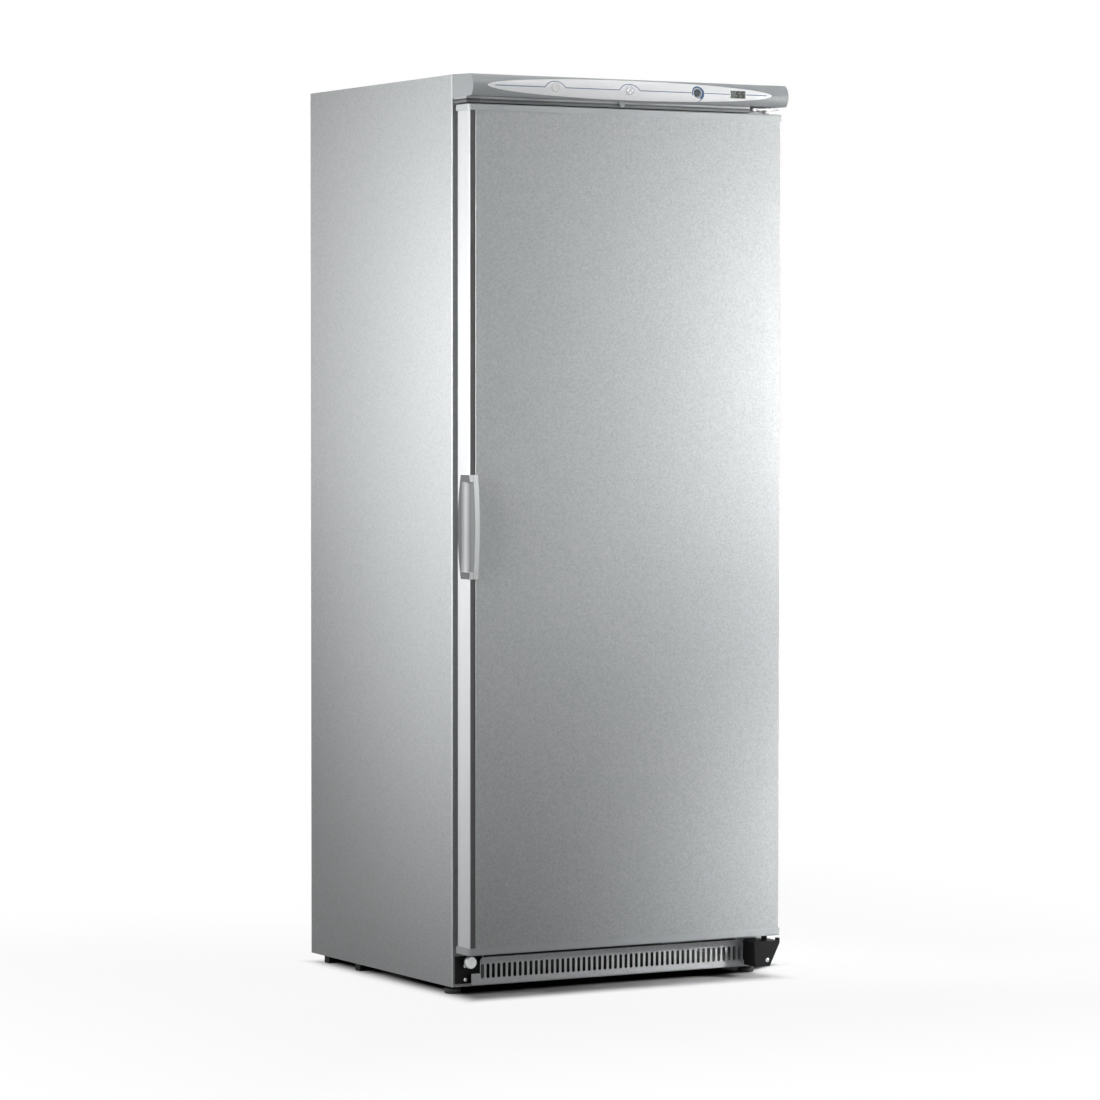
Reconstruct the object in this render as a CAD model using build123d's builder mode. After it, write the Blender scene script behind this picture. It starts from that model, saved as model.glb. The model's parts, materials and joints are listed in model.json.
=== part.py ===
"""Upright commercial refrigerator, single solid door hung on the right, about 600 litres.

Frame: X to the right as one faces the door, Y from the door to the back, Z up.
The origin is the middle of the object's box on the floor. Every length is in millimetres.
"""

from build123d import *
import math
import os

os.makedirs("parts", exist_ok=True)

# Overall sizes of the cabinet
body_width = 744.0
overall_depth = 740.0
overall_height = 1865.0
floor_gap = 17.5  # floor to the lower edge of the side panels
control_depth = 92.0  # control housing ahead of the side panels
control_height = 46.5
back_inset = 26.0  # back panel set in from the side panels' rear edges

# Walls of the insulated body
sheet = 1.2
liner_sheet = 2.0
side_wall = 46.0
back_wall = 48.0
roof_wall = 100.0
tunnel_height = 64.5  # air tunnel under the insulated body
floor_wall = 48.0
bay_depth = 198.0  # compressor bay, from the back panel's outside forwards
bay_height = 180.0
step_wall = 46.0
step_roof_wall = 28.0
front_return = 8.0
rear_return = 14.0
top_flange = 17.0

# Door
door_inset = 4.0  # door's edge in from the cabinet's side
door_drop = 15.0  # door's top edge below the control housing
door_lift = 6.0  # door's lower edge above the air tunnel
door_gap = 15.0  # door's back to the cabinet's front
door_thickness = 52.0
top_cap_height = 13.0
bottom_cap_height = 15.0
cap_overhang = 3.0
cap_proud = 2.0
cap_corner = 7.0
cap_edge = 2.5
cap_wall = 5.0
skin_bend = 4.0
skin_return = 8.0
return_bend = 1.6
edge_strip_width = 12.0
edge_strip_recess = 2.5
edge_strip_sheet = 2.5
edge_profile_sheet = 2.0
pan_depth = 18.0
pan_margin = 66.0
pan_end_margin = 34.0
pan_corner = 24.0
gasket_gap = 0.3
gasket_width = 20.0
gasket_side = 18.0  # gasket in from the door's sides
gasket_end = 1.0  # gasket in from the skin's ends

# Hinges
hinge_inset = 20.5  # axis in from the door's right edge
hinge_setback = 26.0  # axis behind the door's front skin
pin_radius = 4.0
pin_reach = 12.0  # pin's length inside the door
running_clearance = 0.05
bush_wall = 2.0
bush_flange = 1.0
collar_gap = 0.3

# Handle on the door's left edge
handle_height = 210.0
handle_centre_z = 953.5
handle_end_block = 13.8
handle_bow_front = 8.0
handle_bow_rear = 13.0
handle_depth = 34.0
handle_proud = 2.0
handle_overlap = 4.0  # front bar over the skin beside the strip
bar_inset = 7.0  # bar's free edge in from the door's side
bar_thickness = 4.0
cup_reach = 24.0
cup_wall = 2.0
cup_back = 2.5
cup_lip = 5.0

# Control housing
housing_sheet = 2.5
nose_setback = 1.5  # housing's nose behind the faces of the knob and the button
brow_setback = 14.0
brow_drop = 2.5
chin_setback = 10.5
label_drop = 1.75  # label's centre below the middle of the housing
label_rim = 3.25
label_depth = 1.0
label_x = -4.0
label_side = 37.0
seat_x = -1.5
seat_side = 27.0
button_x = -183.5
button_radius = 8.0
button_travel = 2.5
lock_x = -10.0
lock_radius = 7.5
plug_radius = 4.5
bolt_travel = 9.0
bolt_setback = 33.0  # bolt's axis behind the furthest forward point
bolt_radius = 3.5
bolt_gap = 3.0  # open bolt's tip above the door
knob_x = 151.0
knob_radius = 7.5
display_x = 249.0
display_width = 36.0
display_height = 16.0

# Shelves
shelf_levels = (500.0, 850.0, 1200.0)
shelf_side_gap = 10.0
shelf_front_gap = 53.0
shelf_back_gap = 26.0
shelf_frame_radius = 3.5
shelf_bar_radius = 2.8
shelf_wire_radius = 1.6
shelf_wire_count = 23
shelf_corner = 14.0

# Grille and feet
slot_pitch = 12.49
slot_width = 7.0
slot_height = 30.0
grille_setback = 73.0
foot_radius = 17.0
foot_height = 12.0
foot_stud_radius = 5.0
skid_width = 22.0

# Refrigeration
condenser_pitch = 64.0
condenser_tube_radius = 2.5
condenser_wire_radius = 0.8
condenser_wire_count = 35
evaporator_pitch = 70.0
evaporator_tube_radius = 4.0
pipe_radius = 4.0
capillary_radius = 1.5
fan_x = 0.0
fan_y = 180.0
fan_radius = 56.0

# Places worked out from the sizes above
half_width = body_width / 2
front_y = -overall_depth / 2
rear_y = overall_depth / 2
panel_y = front_y + control_depth
back_y = rear_y - back_inset
top_z = overall_height
housing_bottom = top_z - control_height
inner_half = half_width - sheet
return_x = half_width - front_return
base_z = floor_gap + tunnel_height
frame_y = panel_y + sheet
cavity_half = half_width - side_wall
liner_half = cavity_half + liner_sheet
cavity_back = back_y - back_wall
cavity_top = top_z - roof_wall
cavity_floor = base_z + floor_wall
bay_front = back_y - bay_depth
bay_top = base_z + bay_height
step_y = bay_front - step_wall
step_z = bay_top + step_roof_wall
door_half = half_width - door_inset
door_top = housing_bottom - door_drop
door_bottom = base_z + door_lift
door_back = panel_y - door_gap
door_front = door_back - door_thickness
liner_front = door_back - liner_sheet
skin_bottom = door_bottom + bottom_cap_height
skin_top = door_top - top_cap_height
profile_right = -door_half + edge_profile_sheet
strip_right = profile_right + edge_strip_width
hinge_x = door_half - hinge_inset
hinge_y = door_front + hinge_setback
bolt_y = front_y + bolt_setback
nose_y = front_y + nose_setback
label_z = top_z - control_height / 2 - label_drop
past = 1.0  # how far a cut runs beyond the faces that it opens


def beyond(low, high, by=past):
    """Limits of a cut that opens both ends of a span."""
    return (low - by, high + by)


def around(centre, half):
    """Limits of a span about its middle."""
    return (centre - half, centre + half)


def block(x, y, z, mode=Mode.ADD):
    """Rectangular block over three pairs of limits, in the current part."""
    with Locations(((x[0] + x[1]) / 2, (y[0] + y[1]) / 2, (z[0] + z[1]) / 2)):
        Box(abs(x[1] - x[0]), abs(y[1] - y[0]), abs(z[1] - z[0]), mode=mode)


def post(x, y, z, radius, mode=Mode.ADD):
    """Upright cylinder between two levels, in the current part."""
    with Locations((x, y, (z[0] + z[1]) / 2)):
        Cylinder(radius, z[1] - z[0], mode=mode)


def spindle(x, y, z, radius, mode=Mode.ADD):
    """Cylinder that lies front to back between two places y, in the current part."""
    with Locations((x, (y[0] + y[1]) / 2, z)):
        Cylinder(radius, y[1] - y[0], rotation=(90, 0, 0), mode=mode)


def rod_across(x, y, z, radius, mode=Mode.ADD):
    """Cylinder that lies left to right between two places x, in the current part."""
    with Locations(((x[0] + x[1]) / 2, y, z)):
        Cylinder(radius, x[1] - x[0], rotation=(0, 90, 0), mode=mode)


def front_rims(piece):
    """Round edges of a piece that lie furthest forward."""
    return piece.edges().filter_by(GeomType.CIRCLE).group_by(Axis.Y)[0]


def save(piece, label):
    """Name a finished piece and write its file."""
    piece.part.label = label
    export_step(piece.part, f"parts/{label}.step")


# Side panels, folded at the front and the back
fold_radius = 0.9


def side_panel(side):
    levels = (floor_gap, top_z)
    outer_x = side * half_width
    with BuildPart() as panel:
        block((outer_x, side * inner_half), (panel_y, rear_y), levels)
        block((outer_x, side * return_x), (panel_y, frame_y), levels)
        block((outer_x, side * (half_width - rear_return)), (rear_y - sheet, rear_y), levels)
        fillet(panel.edges().filter_by(Axis.Z).group_by(Axis.X)[0 if side < 0 else -1], fold_radius)
    return panel


left_side_panel = side_panel(-1)
save(left_side_panel, "left_side_panel")
right_side_panel = side_panel(1)
save(right_side_panel, "right_side_panel")

# Top panel with turned down front and back edges
with BuildPart() as top_panel:
    block((-inner_half, inner_half), (frame_y, back_y), (top_z - sheet, top_z))
    block((-return_x, return_x), (panel_y, frame_y), (top_z - top_flange, top_z))
    block((-inner_half, inner_half), (back_y - sheet, back_y), (top_z - top_flange, top_z - sheet))
save(top_panel, "top_panel")

# Back panel with pressed ribs and the spot-welded brackets that carry the condenser
condenser_half = inner_half - 100.8
condenser_y = back_y + 14.0
condenser_z = bay_top + 130.0
condenser_head = 230.0  # least height over the condenser
condenser_passes = 2 * int((top_z - condenser_head - condenser_z) / (2 * condenser_pitch)) + 2
condenser_top = condenser_z + (condenser_passes - 1) * condenser_pitch
tube_contact_gap = 0.05
wire_offset = condenser_tube_radius + condenser_wire_radius + tube_contact_gap
bracket_gap = 0.3
bracket_front = condenser_y - wire_offset - condenser_wire_radius - bracket_gap
bracket_x = condenser_half - 8.0
bracket_half = 7.0
bracket_half_height = 18.0
bracket_rows = (1, condenser_passes - 2)
rib_width = 26.0
rib_height = 3.0
rib_spacing = 124.0
rib_count = 5
rib_end_margin = 60.0
with BuildPart() as back_panel:
    block((-inner_half, inner_half), (back_y - sheet, back_y), (bay_top + sheet, top_z - top_flange))
    with BuildSketch(Plane.XZ.offset(-back_y)):
        with Locations((0, (bay_top + top_z) / 2)):
            with GridLocations(rib_spacing, 0, rib_count, 1):
                SlotOverall(top_z - bay_top - 2 * rib_end_margin, rib_width, rotation=90)
    extrude(amount=-rib_height)
    for side in (-1, 1):
        for row in bracket_rows:
            level = condenser_z + row * condenser_pitch
            block(
                around(side * bracket_x, bracket_half),
                (back_y, bracket_front),
                around(level, bracket_half_height),
            )
save(back_panel, "back_panel")

# Openings that the drain and the pipes need through the roof of the compressor bay
drain_x = -120.0
drain_y = back_y - 72.0
drain_radius = 8.0
pipe_hole_gap = 0.8
plate_half = cavity_half - 71.0  # evaporator plate, whose sides the pipes pass
suction_x = -plate_half - 13.0
capillary_x = suction_x - 14.0
pipe_row_y = cavity_back - 9.0


def bay_roof_holes(low, high):
    """Cut the drain hole and the two pipe holes through the current part."""
    levels = beyond(low, high)
    post(drain_x, drain_y, levels, drain_radius, Mode.SUBTRACT)
    post(suction_x, pipe_row_y, levels, pipe_radius + pipe_hole_gap, Mode.SUBTRACT)
    post(capillary_x, pipe_row_y, levels, capillary_radius + pipe_hole_gap, Mode.SUBTRACT)


# Stepped steel base of the insulated body, over the air tunnel and the compressor bay
base_profile = [
    (frame_y, base_z),
    (bay_front, base_z),
    (bay_front, bay_top),
    (back_y, bay_top),
    (back_y, bay_top + sheet),
    (bay_front - sheet, bay_top + sheet),
    (bay_front - sheet, base_z + sheet),
    (frame_y, base_z + sheet),
]
with BuildPart() as base_panel:
    with BuildSketch(Plane.YZ.offset(-inner_half)):
        Polygon(*base_profile, align=None)
    extrude(amount=2 * inner_half)
    bay_roof_holes(bay_top, bay_top + sheet)
save(base_panel, "base_panel")

# Front frame that the gasket seats on
with BuildPart() as front_frame:
    block((-return_x, return_x), (panel_y, frame_y), (base_z, top_z - top_flange))
    block(
        (-liner_half, liner_half),
        beyond(panel_y, frame_y),
        (cavity_floor - liner_sheet, cavity_top + liner_sheet),
        Mode.SUBTRACT,
    )
save(front_frame, "front_frame")


def cavity_outline(grow):
    """Corner points of the food compartment from the side, grown outwards by a wall."""
    return [
        (panel_y, cavity_floor - grow),
        (step_y + grow, cavity_floor - grow),
        (step_y + grow, step_z - grow),
        (cavity_back + grow, step_z - grow),
        (cavity_back + grow, cavity_top + grow),
        (panel_y, cavity_top + grow),
    ]


# Inner liner: the walls, floor, step and ceiling of the food compartment in one shell
with BuildPart() as inner_liner:
    with BuildSketch(Plane.YZ.offset(-liner_half)):
        Polygon(*cavity_outline(liner_sheet), align=None)
    extrude(amount=2 * liner_half)
    with BuildSketch(Plane.YZ.offset(-cavity_half)):
        Polygon(*cavity_outline(0.0), align=None)
    extrude(amount=2 * cavity_half, mode=Mode.SUBTRACT)
    bay_roof_holes(step_z - liner_sheet, step_z)
save(inner_liner, "inner_liner")

# Foamed insulation between the shells
with BuildPart() as insulation:
    block((-inner_half, inner_half), (frame_y, back_y - sheet), (base_z + sheet, top_z - sheet))
    block(
        (-inner_half, inner_half),
        (bay_front - sheet, back_y),
        (base_z, bay_top + sheet),
        Mode.SUBTRACT,
    )
    with BuildSketch(Plane.YZ.offset(-liner_half)):
        Polygon(*cavity_outline(liner_sheet), align=None)
    extrude(amount=2 * liner_half, mode=Mode.SUBTRACT)
    bay_roof_holes(bay_top, step_z)
save(insulation, "insulation")

# Shelf pilasters: slotted strips on the liner's side walls
pilaster_width = 20.0
pilaster_sheet = 2.0
pilaster_front_gap = 55.0  # strip's middle behind the shelf's front edge
pilaster_back_gap = 65.0
pilaster_foot = 50.0
pilaster_head = 60.0
pilaster_pitch = 31.0
pilaster_slot_height = 5.0
shelf_front = panel_y + shelf_front_gap
shelf_back = cavity_back - shelf_back_gap
pilaster_rows = (shelf_front + pilaster_front_gap, shelf_back - pilaster_back_gap)
pilaster_bottom = step_z + pilaster_foot
pilaster_top = cavity_top - pilaster_head
pilaster_length = pilaster_top - pilaster_bottom
pilaster_slots = int(pilaster_length / pilaster_pitch) - 1
with BuildPart() as shelf_pilasters:
    for side in (-1, 1):
        with BuildSketch(Plane.YZ.offset(side * cavity_half)):
            for row in pilaster_rows:
                with Locations((row, (pilaster_bottom + pilaster_top) / 2)):
                    Rectangle(pilaster_width, pilaster_length)
                    with GridLocations(0, pilaster_pitch, 1, pilaster_slots):
                        Rectangle(pilaster_width / 2, pilaster_slot_height, mode=Mode.SUBTRACT)
        extrude(amount=-side * pilaster_sheet)
save(shelf_pilasters, "shelf_pilasters")

# Shelf clips: four bent tongues under each shelf
clip_reach = 16.0
clip_gap = 0.3
clip_sheet = 2.0
clip_height = 18.0
clip_half = 7.0
pilaster_face = cavity_half - pilaster_sheet
with BuildPart() as shelf_clips:
    for level in shelf_levels:
        clip_top = level - clip_gap
        for side in (-1, 1):
            for row in pilaster_rows:
                block(
                    (side * pilaster_face, side * (pilaster_face - clip_sheet)),
                    around(row, clip_half),
                    (clip_top - clip_height, clip_top),
                )
                block(
                    (side * (pilaster_face - clip_sheet), side * (pilaster_face - clip_reach)),
                    around(row, clip_half),
                    (clip_top - clip_sheet, clip_top),
                )
save(shelf_clips, "shelf_clips")

# Wire shelves: a round frame, two cross bars and close wires front to back
shelf_rod_half = cavity_half - shelf_side_gap - shelf_frame_radius
rod_front = shelf_front + shelf_frame_radius
rod_back = shelf_back - shelf_frame_radius
wire_spacing = 2 * shelf_rod_half / (shelf_wire_count + 1)
for number, level in enumerate(shelf_levels, 1):
    rod_z = level + shelf_frame_radius
    with BuildPart() as wire_shelf:
        with BuildLine():
            FilletPolyline(
                (-shelf_rod_half, rod_front, rod_z),
                (shelf_rod_half, rod_front, rod_z),
                (shelf_rod_half, rod_back, rod_z),
                (-shelf_rod_half, rod_back, rod_z),
                radius=shelf_corner,
                close=True,
            )
        with BuildSketch(Plane(origin=(0, rod_front, rod_z), z_dir=(1, 0, 0))):
            Circle(shelf_frame_radius)
        sweep()
        for share in (1 / 3, 2 / 3):
            bar_y = rod_front + share * (rod_back - rod_front)
            rod_across((-shelf_rod_half, shelf_rod_half), bar_y, rod_z, shelf_bar_radius)
        with Locations((0, (rod_front + rod_back) / 2, rod_z + shelf_wire_radius)):
            with GridLocations(wire_spacing, 0, shelf_wire_count, 1):
                Cylinder(shelf_wire_radius, rod_back - rod_front, rotation=(90, 0, 0))
    save(wire_shelf, f"wire_shelf_{number}")


def serpentine(half, y, z0, pitch, passes, radius, lead=0.0):
    """Round tube that runs to and fro across a vertical plane, joined by half circles.

    Its two ends stand out by lead beyond the other passes.
    """
    with BuildPart() as tube:
        with BuildLine() as route:
            for row in range(passes):
                turn = 1 if row % 2 == 0 else -1
                z = z0 + row * pitch
                start = half + (lead if row == 0 else 0.0)
                end = half + (lead if row == passes - 1 else 0.0)
                Line((-turn * start, y, z), (turn * end, y, z))
                if row < passes - 1:
                    bend = (turn * (half + pitch / 2), y, z + pitch / 2)
                    ThreePointArc((turn * half, y, z), bend, (turn * half, y, z + pitch))
        with BuildSketch(Plane(origin=(-half - lead, y, z0), z_dir=(1, 0, 0))):
            Circle(radius)
        sweep(path=route.wires()[0])
    return tube


# Evaporator: a plate on stand-offs with its tube brazed to the back
plate_bottom = step_z + 410.0
plate_head = 100.0  # least height over the plate
plate_sheet = 1.5
plate_edge = 0.8  # first pass above the plate's lower edge, in pitches
braze_depth = 0.5
standoff_radius = 5.0
standoff_x = 150.0
standoff_inset = 15.0
evaporator_room = cavity_top - plate_head - plate_bottom - 2 * plate_edge * evaporator_pitch
evaporator_passes = 1 + 2 * int(evaporator_room / (2 * evaporator_pitch))
plate_rear = pipe_row_y - evaporator_tube_radius + braze_depth
evaporator_half = plate_half - 50.0
evaporator_end = plate_half + 1.0
evaporator_z = plate_bottom + plate_edge * evaporator_pitch
evaporator_end_z = evaporator_z + (evaporator_passes - 1) * evaporator_pitch
plate_top = evaporator_end_z + plate_edge * evaporator_pitch
evaporator_tube = serpentine(
    evaporator_half,
    pipe_row_y,
    evaporator_z,
    evaporator_pitch,
    evaporator_passes,
    evaporator_tube_radius,
    evaporator_end - evaporator_half,
)
with BuildPart() as evaporator:
    block((-plate_half, plate_half), (plate_rear - plate_sheet, plate_rear), (plate_bottom, plate_top))
    for x in (-standoff_x, standoff_x):
        for z in (plate_bottom + standoff_inset, plate_top - standoff_inset):
            spindle(x, (plate_rear, cavity_back), z, standoff_radius)
    add(evaporator_tube.part)
save(evaporator, "evaporator")

# Condenser: wire and tube grid in the recess behind the back panel
condenser_tube = serpentine(
    condenser_half,
    condenser_y,
    condenser_z,
    condenser_pitch,
    condenser_passes,
    condenser_tube_radius,
)
save(condenser_tube, "condenser_tube")

wire_end = 8.0  # wires beyond the outer passes
wire_gap = 2 * condenser_half / (condenser_wire_count - 1)
with BuildPart() as condenser_wires:
    for side in (-1, 1):
        with Locations((0, condenser_y + side * wire_offset, (condenser_z + condenser_top) / 2)):
            with GridLocations(wire_gap, 0, condenser_wire_count, 1):
                Cylinder(condenser_wire_radius, condenser_top - condenser_z + 2 * wire_end)
save(condenser_wires, "condenser_wires")

# Fan under the ceiling: square shroud with its hub and moulded guard, and a spinning blade
guard_bar = 2.5
guard_rings = (54.0, 40.0, 26.0, 12.0)
shroud_margin = 8.0
shroud_corner = 8.0
shroud_drop = 10.0
shroud_depth = 34.0
shroud_tip_gap = 2.0
shroud_post_radius = 5.0
shroud_post_inset = 9.0
spoke = 6.0
spoke_count = 3
spoke_start = 30.0  # degrees
guard_spokes = 4
hub_radius = 17.0
hub_height = 14.0
fan_shaft_radius = 2.0
fan_shaft_length = 14.0
shroud_half = fan_radius + shroud_margin
shroud_top = cavity_top - shroud_drop
shroud_bottom = shroud_top - shroud_depth
hub_bottom = shroud_top - hub_height
guard_levels = (shroud_bottom - guard_bar, shroud_bottom)
with BuildPart() as fan_shroud:
    block(around(fan_x, shroud_half), around(fan_y, shroud_half), (shroud_bottom, shroud_top))
    fillet(fan_shroud.edges().filter_by(Axis.Z), shroud_corner)
    bore = fan_radius + shroud_tip_gap
    post(fan_x, fan_y, beyond(shroud_bottom, shroud_top), bore, Mode.SUBTRACT)
    post(fan_x, fan_y, (hub_bottom, shroud_top), hub_radius)
    post(fan_x, fan_y, (hub_bottom - fan_shaft_length, hub_bottom), fan_shaft_radius)
    for turn in range(spoke_count):
        angle = spoke_start + 360 / spoke_count * turn
        spin = Location((fan_x, fan_y, shroud_top - spoke / 2), (0, 0, angle))
        with Locations(spin * Location(((hub_radius + bore) / 2, 0, 0))):
            Box(bore - hub_radius + spoke, spoke, spoke)
    post_spread = 2 * (shroud_half - shroud_post_inset)
    with Locations((fan_x, fan_y, (shroud_top + cavity_top) / 2)):
        with GridLocations(post_spread, post_spread, 2, 2):
            Cylinder(shroud_post_radius, cavity_top - shroud_top)
    for ring in guard_rings:
        post(fan_x, fan_y, guard_levels, ring + guard_bar)
        post(fan_x, fan_y, guard_levels, ring, Mode.SUBTRACT)
    for turn in range(guard_spokes):
        angle = 180 / guard_spokes * turn
        with Locations(Location((fan_x, fan_y, sum(guard_levels) / 2), (0, 0, angle))):
            Box(2 * (bore + guard_bar), guard_bar, guard_bar)
save(fan_shroud, "fan_shroud")

blade_height = 12.0
blade_count = 5
blade_chord = 20.0
blade_sheet = 1.6
blade_pitch = 28.0  # degrees
blade_tip_gap = 4.0
blade_hub_radius = 14.0
blade_root = 10.0
blade_gap = 0.5  # blade's hub below the motor's hub
blade_top = hub_bottom - blade_gap
blade_mid = (blade_root + fan_radius - blade_tip_gap) / 2
with BuildPart() as fan_blade:
    blade_levels = (blade_top - blade_height, blade_top)
    post(fan_x, fan_y, blade_levels, blade_hub_radius)
    for turn in range(blade_count):
        spin = Location((fan_x, fan_y, sum(blade_levels) / 2), (0, 0, 360 / blade_count * turn))
        with Locations(spin * Location((blade_mid, 0, 0), (blade_pitch, 0, 0))):
            Box(2 * (fan_radius - blade_tip_gap - blade_mid), blade_chord, blade_sheet)
    blade_bore = fan_shaft_radius + running_clearance
    post(fan_x, fan_y, beyond(*blade_levels), blade_bore, Mode.SUBTRACT)
save(fan_blade, "fan_blade")

# Compressor bay: a tray on two skids
tray_sheet = 1.5
tray_inset = 4.0
tray_lip = 10.0
tray_front = bay_front + tray_inset
tray_back = back_y - tray_inset
tray_top = floor_gap + tray_sheet
lip_levels = (floor_gap, floor_gap + tray_lip)
with BuildPart() as compressor_tray:
    block((-inner_half, inner_half), (tray_front, tray_back), (floor_gap, tray_top))
    block((-inner_half, inner_half), (tray_front, tray_front + tray_sheet), lip_levels)
    block((-inner_half, inner_half), (tray_back - tray_sheet, tray_back), lip_levels)
save(compressor_tray, "compressor_tray")

skid_half = half_width - 11.0
skid_wall = 2.0
skid_rows = (tray_front + 9.0, tray_back - skid_width - 12.0)
with BuildPart() as skid_rails:
    for row in skid_rows:
        block((-skid_half, skid_half), (row, row + skid_width), (0, floor_gap))
        block(
            around(0, skid_half - skid_wall),
            (row + skid_wall, row + skid_width - skid_wall),
            (skid_wall, floor_gap + past),
            Mode.SUBTRACT,
        )
save(skid_rails, "skid_rails")

# Hermetic compressor: pot with its weld flange, foot plate and two pipe stubs
compressor_x = -130.0
compressor_y = (tray_front + tray_back) / 2 + 2.0
mount_height = 13.0
mount_radius = 12.0
mount_bore = 4.0
mount_stem = 5.0
foot_plate_sheet = 3.0
foot_plate_x = 224.0
foot_plate_y = 140.0
foot_spread_x = 190.0
foot_spread_y = 110.0
pot_radius = 70.0
pot_height = 128.0
pot_dome = 34.0
pot_foot = 12.0
weld_flange = 4.0
weld_flange_height = 8.0
weld_flange_lift = 62.0
suction_lift = 80.0
discharge_lift = 36.0
stub_length = 12.0
discharge_row_y = compressor_y - 25.0
plate_z = tray_top + mount_height
pot_bottom = plate_z + foot_plate_sheet
pot_top = pot_bottom + pot_height
suction_z = pot_bottom + suction_lift
discharge_z = pot_bottom + discharge_lift
stub_end = compressor_x - pot_radius - stub_length
with BuildPart() as compressor:
    post(compressor_x, compressor_y, (pot_bottom, pot_top), pot_radius)
    fillet(compressor.edges().filter_by(GeomType.CIRCLE).group_by(Axis.Z)[-1], pot_dome)
    fillet(compressor.edges().filter_by(GeomType.CIRCLE).group_by(Axis.Z)[0], pot_foot)
    flange_low = pot_bottom + weld_flange_lift
    flange_levels = (flange_low, flange_low + weld_flange_height)
    post(compressor_x, compressor_y, flange_levels, pot_radius + weld_flange)
    rod_across((stub_end, compressor_x), pipe_row_y, suction_z, pipe_radius)
    rod_across((stub_end, compressor_x), discharge_row_y, discharge_z, condenser_tube_radius)
    with Locations((compressor_x, compressor_y, plate_z + foot_plate_sheet / 2)):
        Box(foot_plate_x, foot_plate_y, foot_plate_sheet)
        with GridLocations(foot_spread_x, foot_spread_y, 2, 2):
            Cylinder(mount_bore, foot_plate_sheet + 2 * past, mode=Mode.SUBTRACT)
save(compressor, "compressor")

# Rubber mounts between the compressor's feet and the tray
with BuildPart() as compressor_mounts:
    with Locations((compressor_x, compressor_y, 0)):
        with GridLocations(foot_spread_x, foot_spread_y, 2, 2):
            with Locations((0, 0, tray_top + mount_height / 2)):
                Cylinder(mount_radius, mount_height)
            with Locations((0, 0, plate_z + mount_stem / 2)):
                Cylinder(mount_bore - running_clearance, mount_stem)
save(compressor_mounts, "compressor_mounts")

# Cover of the compressor's terminals, shaped to the pot
cover_reach = 34.0
cover_sink = 20.0
cover_half = 30.0
cover_levels = (pot_bottom + 14.0, pot_bottom + 60.0)
cover_corner = 6.0
pot_seat_gap = 0.05
with BuildPart() as terminal_cover:
    pot_side = compressor_x + pot_radius
    block((pot_side - cover_sink, pot_side + cover_reach), around(compressor_y, cover_half), cover_levels)
    fillet(terminal_cover.edges().filter_by(Axis.Z).group_by(Axis.X)[-1], cover_corner)
    seat_radius = pot_radius + pot_seat_gap
    post(compressor_x, compressor_y, beyond(*cover_levels), seat_radius, Mode.SUBTRACT)
save(terminal_cover, "terminal_cover")


def pipe_run(points, radius, bend):
    """Round tube along straight runs joined by bends, whose ends are square to the runs."""
    with BuildPart() as pipe:
        with BuildLine() as route:
            FilletPolyline(*points, radius=bend)
        first = Vector(points[0])
        with BuildSketch(Plane(origin=first, z_dir=Vector(points[1]) - first)):
            Circle(radius)
        sweep(path=route.wires()[0])
    return pipe


# Copper pipes: suction and discharge lines, and the capillary from the drier to the evaporator
drier_x = -condenser_half - 35.0
drier_radius = 9.0
drier_length = 90.0
drier_neck = 5.0
drier_top = condenser_z - 24.0
drier_bottom = drier_top - drier_length
discharge_x = drier_x - 31.0
capillary_low = bay_top - 32.0
capillary_high = plate_top + 12.0
capillary_side = plate_half + 14.0
suction_bend = 11.0
discharge_bend = 16.0
capillary_bend = 10.0
liquid_bend = 12.0
suction_pipe = pipe_run(
    [
        (stub_end, pipe_row_y, suction_z),
        (suction_x, pipe_row_y, suction_z),
        (suction_x, pipe_row_y, evaporator_z),
        (-evaporator_end, pipe_row_y, evaporator_z),
    ],
    pipe_radius,
    suction_bend,
)
discharge_pipe = pipe_run(
    [
        (stub_end, discharge_row_y, discharge_z),
        (discharge_x, discharge_row_y, discharge_z),
        (discharge_x, condenser_y, discharge_z),
        (discharge_x, condenser_y, condenser_top),
        (-condenser_half, condenser_y, condenser_top),
    ],
    condenser_tube_radius,
    discharge_bend,
)
capillary = pipe_run(
    [
        (drier_x, condenser_y, drier_bottom),
        (drier_x, condenser_y, capillary_low),
        (drier_x, pipe_row_y, capillary_low),
        (capillary_x, pipe_row_y, capillary_low),
        (capillary_x, pipe_row_y, capillary_high),
        (capillary_side, pipe_row_y, capillary_high),
        (capillary_side, pipe_row_y, evaporator_end_z),
        (evaporator_end, pipe_row_y, evaporator_end_z),
    ],
    capillary_radius,
    capillary_bend,
)
liquid_pipe = pipe_run(
    [
        (-condenser_half, condenser_y, condenser_z),
        (drier_x, condenser_y, condenser_z),
        (drier_x, condenser_y, drier_top),
    ],
    condenser_tube_radius,
    liquid_bend,
)
with BuildPart() as copper_pipes:
    for pipe in (suction_pipe, discharge_pipe, capillary, liquid_pipe):
        add(pipe.part)
save(copper_pipes, "copper_pipes")

# Filter drier: a copper capsule between the condenser and the capillary
with BuildPart() as filter_drier:
    post(drier_x, condenser_y, (drier_bottom, drier_top), drier_radius)
    chamfer(filter_drier.edges().filter_by(GeomType.CIRCLE), drier_neck)
save(filter_drier, "filter_drier")

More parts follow.
